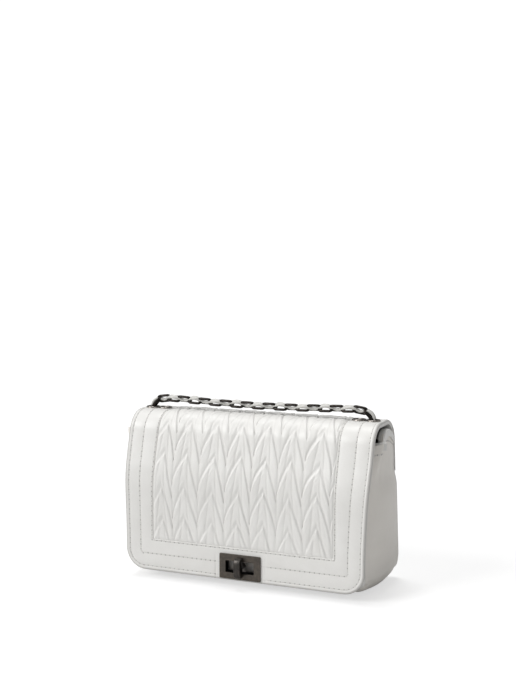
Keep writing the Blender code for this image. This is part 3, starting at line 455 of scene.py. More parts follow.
LEATHER = leather("white_leather_flat")
LEATHER_SPACE = leather("white_leather_space", flat=False)
LEATHER_SIDE = leather("white_leather_side", tint=(1.025, 0.995, 0.960))
LEATHER_INSIDE = leather("white_leather_inside", tint=(0.93, 0.93, 0.93), grain=1.4)
# The lace's white leather darkened to grey: painted shade, so its arches read against the pale backdrop.
LACE_LEATHER_PAINTED_SHADE = leather("white_leather_lace_painted_shade", flat=False, tint=(0.78, 0.78, 0.77), grain=1.2)
THREAD = thread("white_thread", (0.72, 0.71, 0.68))
# Painted shade: the needle holes' darkness as a grey thread colour.
NEEDLE_HOLE_SHADE = thread("needle_hole_painted_shade", (0.47, 0.46, 0.44))
METAL = metal("gunmetal", (0.030, 0.027, 0.025), 0.30)
METAL_PLATE = metal("gunmetal_brushed", (0.094, 0.084, 0.074), 0.36, (1.0, 1.0, 0.08))
METAL_DARK = metal("gunmetal_dark", (0.055, 0.051, 0.048), 0.36)
METAL_RING = metal("gunmetal_ring", (0.30, 0.285, 0.27), 0.30)
# A lighter gunmetal for the lock's base plate: painted light, so it reads lit in the window's shade.
METAL_BASE_PAINTED_LIGHT = metal("gunmetal_base_painted_light", (0.31, 0.30, 0.29), 0.50)
# Near-black finish for the lock window's inner walls: painted shade.
WINDOW_WALL_SHADE = metal("window_wall_painted_shade", (0.006, 0.006, 0.006), 0.6)
TWILL = twill("lining_twill")


# Mesh helpers


def add_mesh(name, points, faces, materials, angle=38, uv=None, crease=None, indices=None, solid=True):
    """Puts a mesh in the scene as one named object, smooth but for its sharp edges, its faces outward."""
    mesh = bpy.data.meshes.new(name)
    mesh.from_pydata([tuple(map(float, p)) for p in points], [], [tuple(map(int, f)) for f in faces])
    for one in materials if isinstance(materials, list) else [materials]:
        mesh.materials.append(one)
    if uv is not None:
        corner = np.zeros(len(mesh.loops), np.int32)
        mesh.loops.foreach_get("vertex_index", corner)
        layer = mesh.uv_layers.new(name="UVMap")
        layer.data.foreach_set("uv", np.asarray(uv, np.float32)[corner].ravel())
    # The crease attribute carries painted shade, which the leather's material turns into darker colour.
    if crease is not None:
        marks = mesh.attributes.new("crease", "FLOAT", "POINT")
        marks.data.foreach_set("value", np.asarray(crease, np.float32))
    if indices is not None:
        mesh.polygons.foreach_set("material_index", np.asarray(indices, np.int32))
    mesh.polygons.foreach_set("use_smooth", np.ones(len(mesh.polygons), bool))
    mesh.set_sharp_from_angle(angle=math.radians(angle))
    mesh.validate()
    if solid:
        work = bmesh.new()
        work.from_mesh(mesh)
        bmesh.ops.recalc_face_normals(work, faces=work.faces)
        work.to_mesh(mesh)
        work.free()
    made = bpy.data.objects.new(name, mesh)
    bpy.context.scene.collection.objects.link(made)
    return made


def hand_in(made, node, body):
    """The piece takes a node's place, and rides a body."""
    if node:
        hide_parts(node)
    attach(made, body)


def loop_faces(rows, count, closed=False):
    """Quads between neighbouring loops of points, and from the last loop to the first where closed."""
    faces = []
    for row in range(rows if closed else rows - 1):
        low, high = row * count, (row + 1) % rows * count
        faces += [(low + a, low + (a + 1) % count, high + (a + 1) % count, high + a) for a in range(count)]
    return faces


def skin(loops):
    """Points and faces of a closed skin through loops with as many points each."""
    count = len(loops[0])
    points = [point for loop in loops for point in loop]
    caps = [tuple(range(count)), tuple(range(len(points) - count, len(points)))]
    return points, caps + loop_faces(len(loops), count)


def joined(parts):
    """Several points and faces as those of one mesh."""
    points, faces = [], []
    for more, some in parts:
        faces += [tuple(corner + len(points) for corner in face) for face in some]
        points += more
    return points, faces


def grid_faces(rows, columns):
    """Quads over a grid of points kept row by row."""
    first = np.arange(rows - 1)[:, None] * columns + np.arange(columns - 1)[None, :]
    return np.stack([first, first + 1, first + 1 + columns, first + columns], -1).reshape(-1, 4)


def closed_sheet(top, bottom, faces):
    """A sheet's points and faces: its top, its underside, and walls along their open edges."""
    count = len(top)
    seen = {(a, b) for face in faces for a, b in zip(face, face[1:] + face[:1])}
    walls = [(b, a, a + count, b + count) for a, b in sorted(seen) if (b, a) not in seen]
    below = [[corner + count for corner in reversed(face)] for face in faces]
    return np.concatenate([top, bottom]), faces + below + walls


def sheet(name, node, grid, height, under, finish, crease=None, keep=None, angle=38, mapping=flap_world):
    """A leather sheet over a grid of flat places, laid on the bag in a node's place."""
    x, d = (part.ravel() for part in grid)

    def level(given):
        return given(x, d) if callable(given) else np.broadcast_to(given, grid[0].shape).ravel()

    faces = grid_faces(*grid[0].shape)
    if keep is not None:
        faces = faces[keep(x[faces].mean(1), d[faces].mean(1))]
    used, packed = np.unique(faces, return_inverse=True)
    top, bottom = (np.column_stack([x, d, level(given)])[used] for given in (height, under))
    points, faces = closed_sheet(top, bottom, packed.reshape(faces.shape).tolist())
    marks = None if crease is None else np.append(level(crease)[used], np.zeros(len(used)))
    made = add_mesh(name, mapping(points), faces, finish, angle, points[:, :2], marks)
    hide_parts(node)
    return made


# The flap's layout in flat space: across, and along the outline. A line is its half width, bottom and radius

STITCH_PITCH = 4.9 * MM
EDGE_LINE = (94.4 * MM, 39.3 * MM, 1.2 * MM)
INNER_LINE = (95.9 * MM, 37.8 * MM, 1.6 * MM)
MIDDLE_LINE = (108.5 * MM, 24.2 * MM, 3.0 * MM)
OUTER_LINE = (120.7 * MM, 11.3 * MM, 16.7 * MM)
HEM_LINE = (FLAP_WIDTH / 2, HEM_HEIGHT, FLAP_CORNER_RADIUS)
LINES = (EDGE_LINE, INNER_LINE, MIDDLE_LINE, OUTER_LINE, HEM_LINE)
SHARES_EDGE = (0.0, 0.12, 0.28, 0.5, 0.75)
SHARES_CHANNEL = (0.0, 0.035, 0.075, 0.13, 0.22, 0.34, 0.5, 0.66, 0.78, 0.87, 0.925, 0.965)
SHARES_HEM = (0.0, 0.09, 0.2, 0.38, 0.55, 0.7, 0.8, 0.88, 0.94, 0.98, 1.0)
LINE_SHARES = (SHARES_EDGE, SHARES_CHANNEL, SHARES_CHANNEL, SHARES_HEM)
TAB_HALF_WIDTH = 26.2 * MM
YOKE_SEAM = BACK_FOLD + 45 * MM
YOKE_STITCHES = YOKE_SEAM - 2.2 * MM
PIVOT = np.array([EDGE_LINE[0] - EDGE_LINE[2], EDGE_LINE[1] + EDGE_LINE[2]])
LEATHER_UNDER = -1.7 * MM
LINING_TOP = -1.75 * MM
WINDOW_MARGIN = 1.3 * MM
EYELET_HOLE = 5.7 * MM
EYELET_CLEAR = 8.4 * MM
RAY_REACH = 0.08
SOFTNESS = Wobble(11, 34 * MM, 30 * MM)
RIPPLE = Wobble(12, 9 * MM, 8 * MM)


def line_distance(x, d, line):
    """Signed distance outside a U-shaped line with rounded lower corners."""
    half, bottom, radius = line
    across = np.abs(x) - (half - radius)
    down = (bottom + radius) - d
    corner = np.hypot(np.maximum(across, 0), np.maximum(down, 0)) - radius
    return np.where((across > 0) & (down > 0), corner, np.maximum(across, down) - radius)


def half_edge(above, half, radius):
    """A half width this far above the bottom of an outline with rounded lower corners."""
    drop = np.clip(radius - above, 0, radius)
    return half - radius + np.sqrt(np.clip(radius ** 2 - drop ** 2, 0, None))


def rolled(inside, width, drop):
    """How far a rolled edge falls away at a distance inside it."""
    return -drop * (1 - np.sqrt(1 - (1 - np.clip(inside / width, 0, 1)) ** 2))


def ray_hit(origin, way, line):
    """How far along a ray from inside it crosses a U-shaped line."""
    return halved(0.0, RAY_REACH, lambda reach: line_distance(*(origin + way * reach), line) < 0)


def border_stations():
    """Rays across the flap's border, from its top at the left round the bottom to the right."""
    along = [*np.arange(PIVOT[1], CUT_LINE - STITCH_PITCH / 8, STITCH_PITCH / 4), CUT_LINE]
    half = [((-PIVOT[0], d), (-1.0, 0.0)) for d in reversed(along)]
    half += [((-PIVOT[0], PIVOT[1]), (-cos, -sin)) for sin, cos in quarter(26, 1)[:-1]]
    inner = set(np.round(np.arange(0.0, PIVOT[0], STITCH_PITCH / 4), 6))
    inner |= set(np.round(np.arange(24.6 * MM, 27.8 * MM, 0.35 * MM), 6))
    kept = [0.0]
    for place in sorted(inner | {PIVOT[0]}):
        if place - kept[-1] > 0.25 * MM:
            kept.append(place)
    half += [((-x, PIVOT[1]), (0.0, -1.0)) for x in reversed(kept)]
    return np.array(half + [((-o[0], o[1]), (-w[0], w[1])) for o, w in reversed(half[:-1])])


def border_height(x, d):
    """How high the border's leather stands: two padded channels between the sewn lines, and a rolled hem."""
    edge, inner, middle, outer, hem = (line_distance(x, d, line) for line in LINES)
    fold = 0.85 * MM * np.sqrt(np.clip(edge / (0.9 * MM), 0, 1)) - 0.25 * MM

    def channel(start, end, rise):
        share = np.clip(start / np.maximum(start - end, 1e-6), 0, 1)
        return rise * np.clip(np.sin(np.pi * share), 0, 1) ** 0.55

    pad = (channel(inner, middle, 0.50 * MM) + channel(middle, outer, 0.42 * MM)) * (1 + 0.35 * SOFTNESS(x, d))
    lip = np.clip(np.sin(np.pi * np.clip(outer / (4.3 * MM), 0, 1) ** 0.8), 0, 1) * (outer > 0)
    height = 0.12 * MM + pad + 0.55 * MM * lip + rolled(-hem, 1.5 * MM, 0.9 * MM) + 0.10 * MM * RIPPLE(x, d)
    height = height + np.where(inner < 0, fold * smooth_mm(-0.2, -0.9, inner), 0)
    tab = 1 - smooth(TAB_HALF_WIDTH - 0.4 * MM, TAB_HALF_WIDTH + 1.4 * MM, np.abs(x))
    tab = tab * smooth_mm(0.4, 2.6, inner) * smooth_mm(0.2, 1.8, -hem) * (d < INNER_LINE[1])
    height = height * (1 - tab) + 0.30 * MM * tab
    seam = bell(np.abs(x) - TAB_HALF_WIDTH, 0.45 * MM) * (d < MIDDLE_LINE[1] + 8 * MM)
    height = height - 0.30 * MM * seam * smooth_mm(0.5, 3, inner)
    for distance in eyelet_distances(x, d):
        near = 1 - smooth_mm(7.2, 11.5, distance)
        height = height * (1 - near) + 0.2 * MM * near
    return height


def border_painted_shade(x, d):
    """Where the border's leather is darkened with painted shade: along its sewn lines, and in a band along its hem.
    """
    sewn = np.max([bell(line_distance(x, d, line), 0.5 * MM) for line in LINES[1:4]], axis=0)
    # Painted shade: a darker band along the hem edge, standing in for the rolled edge in shade.
    return np.maximum(sewn * 0.5, 2.0 * smooth_mm(-2.4, -1.4, line_distance(x, d, HEM_LINE)))


def outside_window(x, d):
    """Whether places on the flap are clear of the lock's window."""
    return (np.abs(x) > WINDOW_WIDTH / 2 + WINDOW_MARGIN) | (
        np.abs(d - LOCK_CENTRE_HEIGHT) > WINDOW_HEIGHT / 2 + WINDOW_MARGIN)


def outside_eyelets(x, d):
    return np.min(eyelet_distances(x, d), axis=0) > EYELET_HOLE


def between_lines(hits):
    """Places from one line to the next, closer together near the stitches."""
    return [a + (b - a) * share for a, b, some in zip(hits, hits[1:], LINE_SHARES) for share in some]


def flap_border():
    rows = []
    for origin, way in border_stations():
        hits = [ray_hit(origin, way, line) for line in LINES]
        rows.append([origin + way * reach for reach in between_lines(hits)])
    return sheet(
        "flap_border_leather", "flap_border", np.moveaxis(np.array(rows), 2, 0), border_height, LEATHER_UNDER,
        LEATHER, border_painted_shade, outside_window,
    )


def crown_border(side, name):
    """The flap's side border from the crown's front over the back fold to the yoke seam."""

    def height(x, d):
        end = smooth(0.0, 1.2 * MM, YOKE_SEAM - d)
        groove = 0.35 * MM * bell(YOKE_STITCHES - d, 0.6 * MM)
        return border_height(x, d) * end + 0.10 * MM * (1 - end) - groove

    def under(x, d):
        return LEATHER_UNDER + 1.3 * MM * smooth(BACK_FOLD - 6 * MM, BACK_FOLD + 2 * MM, d)

    across = np.array(sorted(between_lines([line[0] for line in LINES]))) * side
    along = np.append(np.arange(CUT_LINE, YOKE_SEAM - 0.3 * MM, STITCH_PITCH / 4), YOKE_SEAM)
    return sheet(
        "crown_border_leather_" + name, "crown_border_" + name, np.meshgrid(across, along), height, under,
        LEATHER, border_painted_shade, outside_eyelets,
    )


# Pleats

COLUMN_PITCH = 27.31 * MM
COLUMN_START = -99.6 * MM
COLUMN_CENTRE = 0.52
ROW_PITCH = 31.4 * MM
FIRST_APEX = 33.4 * MM
PLEAT_BASE = 0.55 * MM
PLEAT_RISE = 1.10 * MM
PLEAT_EDGE = 1.0 * MM
PLEAT_COLUMNS = 300
PLEAT_ROW = 0.95 * MM
APEX_OFFSETS = np.array([1.4, -0.4, -0.2, 0.5, -0.8, -1.1, 0.1]) * MM
SHIFT_X = Wobble(21, 30 * MM, 34 * MM)
SHIFT_D = Wobble(22, 27 * MM, 40 * MM)
LEAF_PUFF = Wobble(23, 13 * MM, 30 * MM)
CRINKLE = Wobble(24, 5 * MM, 16 * MM)
HAIR = Wobble(25, 11 * MM, 0.085)
ROW_SHIFT = Wobble(26, 10 * MM, 1.0)
PINCH = Wobble(27, 2.6 * MM, 26 * MM)


def pleat_profile(v, face):
    """A petal from its outer edge at 0 to the next one at 1: a lip, a sinking face, then a low wedge."""
    side = 1 - 0.50 * v - 0.50 * np.exp(-np.clip(face, 0, None) / 0.11)
    wedge = 0.82 - 0.40 * v - (0.32 + 0.08 * v) * np.exp(np.clip(face, None, 0) / 0.06)
    return smooth(0.0, 0.15, v) * smooth(1.0, 0.78, v) * np.where(face > 0, side, wedge)


def pleat_shape(x, d):
    """Height and painted shade of the pleats: rows of leaves that meet in points, column by column."""
    across = (x + 1.6 * MM * SHIFT_X(x, d) - COLUMN_START) / COLUMN_PITCH
    column = np.clip(np.floor(across), 0, len(APEX_OFFSETS) - 1).astype(int)
    centre = COLUMN_CENTRE + APEX_OFFSETS[column] / COLUMN_PITCH
    part = across - np.floor(across)
    right = part > centre
    share = np.where(right, (part - centre) / (1 - centre), (centre - part) / centre)
    drop = np.where(right, 35 * share + 6 * share ** 4, 24 * share + 3 * share ** 3 + 6 * share ** 9) * MM
    u = (d - FIRST_APEX + drop + 3.4 * MM * SHIFT_D(x, d)) / ROW_PITCH + 8
    u = u + 0.10 * ROW_SHIFT(np.floor(across) * 10 * MM, u * 0 + 0.5)
    v = 1 - (u - np.floor(u))
    face = share - np.where(right, 0.10 + 0.24 * v, 0.18 + 0.32 * v) + 0.03 * LEAF_PUFF(d, x)
    relief = pleat_profile(v, face) * (1 - 0.25 * share ** 4) * (1 + 0.30 * LEAF_PUFF(x, d))
    front = 1 - 0.7 * smooth_mm(112, 140, d)
    height = PLEAT_BASE + PLEAT_RISE * relief - 0.30 * MM * bell(1 - share, 0.10) * front
    height = height + 0.10 * MM * HAIR(x, u) + 0.09 * MM * PINCH(x, d) + 0.05 * MM * CRINKLE(x, d)
    # Painted shade: darkens the grooves at each petal's edges, the leaves' inner lines and the column edges.
    crease = 0.30 * bell(v, 0.05) + 0.40 * bell(1 - v, 0.13) + 0.50 * bell(face, 0.07)
    return height, np.clip(crease + 0.35 * bell(1 - share, 0.08) * front, 0, 1)


def pleats():
    """The pleated leather on the flap and over its crown, rolled under along its edges."""
    half, bottom, _ = EDGE_LINE
    made = []
    for name, node, low, high, under in (
        ("pleated_leather", "pleated_panel", bottom - PLEAT_EDGE, CUT_LINE, -1.2 * MM),
        ("crown_pleated_leather", "crown_pleats", CUT_LINE, YOKE_SEAM - 1.6 * MM, -0.4 * MM),
    ):
        across = np.linspace(-half - PLEAT_EDGE, half + PLEAT_EDGE, PLEAT_COLUMNS)
        x, d = grid = np.meshgrid(across, np.linspace(low, high, int((high - low) / PLEAT_ROW)))
        height, crease = pleat_shape(x, d)
        from_edge = np.minimum(half - np.abs(x), YOKE_STITCHES - d if low == CUT_LINE else d - bottom)
        roll = np.sin(np.pi / 2 * np.clip(from_edge / (5.0 * MM), 0, 1)) ** 0.8
        height = height * (0.12 + 0.88 * roll) - 0.35 * MM * (1 - smooth_mm(-0.2, 0.9, from_edge))
        # Painted shadow along the rolled edge, where the panel tucks under the border.
        crease = np.maximum(crease, 0.8 * (1 - smooth(0.0, 0.9 * MM, from_edge)))
        made.append(sheet(name, node, grid, height, under, LEATHER, crease, angle=60))
    return made


def flap_linings():
    """The flap's underside in smooth leather, a little inside the outer leather's edge."""
    half, bottom, radius = FLAP_WIDTH / 2 - 0.5 * MM, HEM_HEIGHT + 0.5 * MM, FLAP_CORNER_RADIUS - 0.5 * MM
    slack = Wobble(31, 40 * MM, 45 * MM)

    def under(x, d):
        near_lock = smooth_mm(24, 34, np.hypot(x, d - LOCK_CENTRE_HEIGHT))
        sewn = bell(line_distance(x, d, OUTER_LINE), 0.8 * MM)
        return FLAP_INNER + 0.3 * MM * (1 + slack(x, d)) * near_lock + 0.35 * MM * sewn

    def crown_under(x, d):
        return FLAP_INNER + 0.2 * MM * smooth_mm(9, 16, np.abs(d - EYELET_PLACE)) * (1 + slack(x, d))

    def crown_top(x, d):
        return LINING_TOP - 0.85 * MM * smooth(BACK_FOLD - 6 * MM, BACK_FOLD + 2 * MM, d)

    corner = [bottom + radius * (1 - cos) for _, cos in quarter(14)[:-1]]
    side = np.linspace(bottom + radius, SHOULDER_HEIGHT, 30)[:-1]
    along = np.concatenate([corner, side, np.linspace(SHOULDER_HEIGHT, CUT_LINE, 50)])
    x, d = np.meshgrid(np.linspace(-half, half, 110), along)
    x = x * half_edge(d - bottom, half, radius) / half
    front = sheet(
        "flap_lining_leather", "flap_lining", (x, d), LINING_TOP, under, LEATHER_INSIDE, keep=outside_window,
    )
    grid = np.meshgrid(np.linspace(-half, half, 260), np.linspace(CUT_LINE, BACK_FOLD + 10 * MM, 44))
    crown = sheet(
        "crown_lining_leather", "crown_lining", grid, crown_top, crown_under, LEATHER_INSIDE,
        keep=outside_eyelets,
    )
    return front, crown


# Stitches

STITCH_LENGTH = 3.0 * MM
STITCH_WIDTH = 0.85 * MM
STITCH_LIFT = 0.12 * MM
STITCH_DIP = 0.22 * MM
STITCH_SIDES = 6
CAPSULE_RINGS = ((-0.5, 0.35), (-0.46, 0.8), (-0.3, 1.0), (0.0, 1.06), (0.3, 1.0), (0.46, 0.8), (0.5, 0.35))
HOLE_SHADE_RINGS = ((1.00, -0.25), (0.86, 0.13), (0.42, 0.19))


def circle(count):
    """Cosine and sine at even steps round a circle."""
    return [(math.cos(math.tau * step / count), math.sin(math.tau * step / count)) for step in range(count)]


def resample(points):
    """Even steps along a flat polyline: the middle and the direction of each stitch."""
    points = np.asarray(points, float)
    along = np.append(0, np.cumsum(np.hypot(*np.diff(points, axis=0).T)))
    count = max(1, round(along[-1] / STITCH_PITCH))
    spots = (np.arange(count) + 0.5) * along[-1] / count
    at = lambda places: np.stack([np.interp(places, along, column) for column in points.T], 1)
    ways = at(spots + 0.8 * MM) - at(spots - 0.8 * MM)
    return list(zip(at(spots), ways / np.linalg.norm(ways, axis=1)[:, None]))


def stitch_piece(name, row, height, mapping=flap_world):
    """Raised stitches with a low dark dome between them, painted shade for the needle hole, as one mesh."""
    parts, indices = [], []
    half = STITCH_WIDTH / 2
    for (x, d), (wx, wd) in row:
        base = float(height(np.array([x]), np.array([d]))[0])
        hx, hd = x + wx * STITCH_PITCH / 2, d + wd * STITCH_PITCH / 2
        capsule = [
            (x + wx * along * STITCH_LENGTH - wd * across * half * size,
             d + wd * along * STITCH_LENGTH + wx * across * half * size,
             base + up * half * size + STITCH_LIFT - STITCH_DIP * abs(along * 2) ** 3)
            for along, size in CAPSULE_RINGS for across, up in circle(STITCH_SIDES)
        ]
        # A low dark dome: painted shade for the needle hole.
        hole = [
            (hx + across * size * MM, hd + ahead * size * MM, base + level * MM)
            for size, level in HOLE_SHADE_RINGS for across, ahead in circle(STITCH_SIDES)
        ]
        for index, points in enumerate((capsule, hole)):
            corners = tuple(range(len(points)))
            faces = loop_faces(len(points) // STITCH_SIDES, STITCH_SIDES)
            faces += [corners[:STITCH_SIDES][::-1], corners[-STITCH_SIDES:]]
            parts.append((points, faces))
            indices += [index] * len(faces)
    points, faces = joined(parts)
    return add_mesh(name, mapping(points), faces, [THREAD, NEEDLE_HOLE_SHADE], 60, indices=indices)


def row_path(line, top):
    """A sewn line's path in flat space, from the top left round the bottom to the top right."""
    half, bottom, radius = line
    left = [(-half, top)]
    left += [(-half + radius * (1 - cos), bottom + radius * (1 - sin)) for sin, cos in quarter(12)]
    return left + [(-x, d) for x, d in reversed(left)]


def flap_stitches():
    front, crown = [], []
    for line in LINES[1:4]:
        for (x, d), way in resample(row_path(line, YOKE_SEAM - 4.5 * MM)):
            at_lock = line is not INNER_LINE and abs(x) < TAB_HALF_WIDTH + 2.6 * MM and d < 60 * MM
            if not at_lock and min(eyelet_distances(x, d)) >= EYELET_CLEAR:
                (front if d < CUT_LINE else crown).append(((x, d), way))
    half = FLAP_WIDTH / 2 - 2 * MM
    crown += resample([(-half, YOKE_STITCHES), (half, YOKE_STITCHES)])

    def crown_height(x, d):
        return np.where(d > YOKE_SEAM - 3 * MM, -0.10 * MM, border_height(x, d))

    return (
        stitch_piece("flap_stitching", front, border_height),
        stitch_piece("crown_stitching", crown, crown_height),
    )


# Body

SEAM_INSET = 4.0 * MM
SEAM_GROOVE = 0.35 * MM
PANEL_LINES = np.append(np.linspace(0, 0.90, 30), [0.93, 0.95, 0.965, 0.978, 0.988, 0.995, 1.0])
BULGE_STEPS = ((0.0, 0.14, 0.15), (0.14, 0.35, 0.65), (0.35, 0.6, 0.2), (0.6, 0.85, -0.2), (0.85, 1.0, -0.02))
GUSSET_SHARES = np.unique(np.append(np.linspace(0, 0.3, 16), np.linspace(0.3, 1.0, 22)))
GUSSET_RUN = 87 * MM
SLUMP = Wobble(51, 38 * MM, 26 * MM)
MOUTH_RAISE = 12 * MM
MOUTH_FOLD_RIGHT = (4.5 * MM, 0.17, 0.09)
MOUTH_FOLD_LEFT = (11.0 * MM, 0.11, 0.07)
LINING_MIDDLE_Y = 0.008
LINING_FOLD = 0.9 * MM
UV_SPAN = 0.08
SEAM_BELOW_MOUTH = 9 * MM


def panel(name, node, start, end, outer, relief, steps):
    """A body panel with rounded lower corners and rolled edges."""
    half = BODY_WIDTH / 2
    across = np.append(-PANEL_LINES[::-1], PANEL_LINES[1:]) * half
    x, d = np.meshgrid(across, np.linspace(start, end, steps))
    z = world(np.column_stack([x.ravel(), d.ravel(), np.full(x.size, outer)]))[:, 2].reshape(x.shape)
    edge = half_edge(z, half, CORNER_RADIUS)
    x = x * edge / half
    inside = np.minimum(edge - np.abs(x), z)
    height = outer + rolled(inside, 1.6 * MM, 0.7 * MM) + relief(x, d, inside)
    made = sheet(name, node, (x, d), height, outer - PANEL_THICKNESS, LEATHER, mapping=body_world)
    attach(made, "body")


def body_panels():
    give = Wobble(41, 60 * MM, 50 * MM)

    def front_relief(x, d, inside):
        return -SEAM_GROOVE * bell(inside - SEAM_INSET, 0.5 * MM) * (d > 4 * MM)

    def back_relief(x, d, inside):
        groove = -SEAM_GROOVE * bell(inside - SEAM_INSET, 0.6 * MM) * (d > YOKE_SEAM)
        clear = smooth(0, 18 * MM, inside) * smooth(YOKE_SEAM + 2 * MM, YOKE_SEAM + 9 * MM, d)
        return groove + 0.45 * MM * give(x, d) * clear

    mouth = OUTER.at_height(MOUTH_HEIGHT, BODY_STANDOFF)
    panel("front_panel_leather", "front_panel", 0.0, mouth, -BODY_STANDOFF, front_relief, 84)
    panel("back_panel_leather", "back_panel", BACK_FOLD + 4 * MM, OUTER.length, -0.1 * MM, back_relief, 110)


def gusset_out(share, height):
    """How far the gusset's outer face stands out; near the mouth it springs out just behind its front seam."""
    up = height / MOUTH_HEIGHT
    bulge = GUSSET_BULGE * sum(step * float(smooth(low, high, up)) for low, high, step in BULGE_STEPS)
    turned_up = math.sqrt(max(0.0, 1 - (1 - min(1.0, height / CORNER_RADIUS)) ** 2))
    even = 1 - (2 * share - 1) ** 2
    quick = min(1.0, share / 0.16) * math.cos(math.pi / 2 * min(1.0, max(0.0, (share - 0.55) / 0.45))) ** 0.7
    soft_quick = math.sin(math.pi / 2 * share / 0.17) if share < 0.17 else quick
    lean = float(smooth(0.62, 0.95, up))
    crease = 0.10 * bell(share - 0.22 - 0.10 * (1 - lean), 0.035) * float(smooth(0.5, 0.8, up))
    return bulge * turned_up * max(0.0, even * (1 - lean) + (quick + soft_quick) / 2 * lean - crease)


def strip_line(steps):
    """The gusset's route in XZ, from the left mouth under the base to the right: point and outward normal."""
    half, radius = BODY_WIDTH / 2, CORNER_RADIUS
    right = [(x, 0.0, 0.0, -1.0) for x in np.linspace(0, half - radius, steps)[1:]]
    right += [(half - radius * (1 - sin), radius * (1 - cos), sin, -cos) for sin, cos in quarter(14, 1)]
    right += [(half, z, 1.0, 0.0) for z in np.linspace(radius, MOUTH_HEIGHT, steps * 2)[1:]]
    left = [(-x, z, -across, up) for x, z, across, up in reversed(right)]
    return left + [(0.0, 0.0, 0.0, -1.0)] + right


def gusset_point(place, share, depth, lead=0.0, trail=0.0):
    """A point of the gusset at a place on its route: a share of the way to the back, and this deep inside."""
    x, z, across, up = place
    front = inner_y(z, BODY_STANDOFF + PANEL_THICKNESS) + GAP + lead
    back = inner_y(z, PANEL_THICKNESS, rising=False) - GAP - trail
    y = front + (back - front) * share
    out = gusset_out(share, z)
    out += 0.5 * MM * float(SLUMP(y, z)) * math.sin(math.pi * share) * min(1.0, z / 0.05) * abs(across)
    near_mouth = float(smooth(95 * MM, MOUTH_HEIGHT, z))
    raised = 0.12 * smooth(0.0, 0.12, share) + 0.88 * smooth(0.14, 0.50, share)
    raised = MOUTH_RAISE * near_mouth * float(raised * (1 - 0.75 * smooth(0.50, 1.0, share)))
    fold, middle, spread = MOUTH_FOLD_LEFT if across < 0 else MOUTH_FOLD_RIGHT
    out += fold * near_mouth ** 2 * bell(share - middle, spread) * abs(across) * min(1.0, share / 0.05)
    return (x + across * (out - depth), y, z - up * depth + raised)


def gusset():
    line = strip_line(30)
    outer, inner = (
        [gusset_point(place, share, depth) for place in line for share in GUSSET_SHARES]
        for depth in (0.0, GUSSET_THICKNESS)
    )
    points, faces = closed_sheet(outer, inner, grid_faces(len(line), len(GUSSET_SHARES)).tolist())
    along = np.append(0, np.cumsum([math.dist(a[:2], b[:2]) for a, b in zip(line, line[1:])]))
    uv = [(share * UV_SPAN, run) for run in along for share in GUSSET_SHARES] * 2
    made = add_mesh("gusset_leather", body_shape(points), faces, LEATHER_SIDE, uv=uv)
    hand_in(made, "gusset_strip", "body")


def lining():
    """The loose twill lining: a cup with soft folds, hung inside the body."""
    right = [place for place in strip_line(30) if place[0] > 0.004]
    top_x, top_z, across, up = right[-1]
    right[-1] = (top_x, top_z - LINING_DROP, across, up)
    folds = Wobble(61, 17 * MM, 60 * MM)

    def loop(place, inset):
        depth = GUSSET_THICKNESS + LINING_SLACK + inset
        lead, trail = LINING_STANDOFF - GAP + inset, LINING_SLACK - GAP + inset
        side = [gusset_point(place, share, depth, lead, trail) for share in np.linspace(0, 1, 25)]
        (first_x, front_y, z), (last_x, back_y, _) = side[0], side[-1]
        ring = [(x, front_y, z) for x in np.linspace(-first_x, first_x, 42)[1:-1]] + side
        ring += [(x, back_y, z) for x in np.linspace(last_x, -last_x, 42)[1:-1]]
        ring += [(-x, y, z) for x, y, z in reversed(side)]
        x, y, z = np.array(ring).T
        push = LINING_FOLD * (1 + folds(x + y, z)) * smooth_mm(0, 30, z) * smooth_mm(0, 6, MOUTH_HEIGHT - z)
        inward = np.stack([-x * 0.2, LINING_MIDDLE_Y - y])
        size = np.hypot(*inward)
        x, y = (x, y) + inward * push * (size > 0.01) / np.maximum(size, TINY)
        return np.stack([x, y, z], 1)

    loops = [loop(place, 0.0) for place in right] + [loop(place, LINING_THICKNESS) for place in reversed(right)]
    points, faces = skin(loops)
    uv = [(math.atan2(point[1] - LINING_MIDDLE_Y, point[0]) * UV_SPAN, point[2]) for point in points]
    made = add_mesh("lining_twill_bag", body_shape(points), faces, TWILL, uv=uv)
    hand_in(made, "lining_bag", "body")


def binding(name, node, half_inside, places):
    """A folded leather edge with a rounded top, through places with a way across and a way up."""
    wall = BINDING_THICKNESS
    rounded = [
        ((half_inside + wall) * math.cos(angle), GAP + wall * (0.2 + math.sin(angle)))
        for angle in np.linspace(math.pi, 0, 9)
    ]
    shape = [
        (half_inside, -BINDING_DEPTH), (half_inside, 0.0), (-half_inside, 0.0), (-half_inside, -BINDING_DEPTH),
        (-half_inside - wall, -BINDING_DEPTH), *rounded, (half_inside + wall, -BINDING_DEPTH),
    ]
    loops = [[place + across * a + upward * b for a, b in shape] for place, across, upward in places]
    points, faces = skin(loops)
    made = add_mesh(name, body_shape(points), faces, LEATHER_SPACE)
    hand_in(made, node, "body")


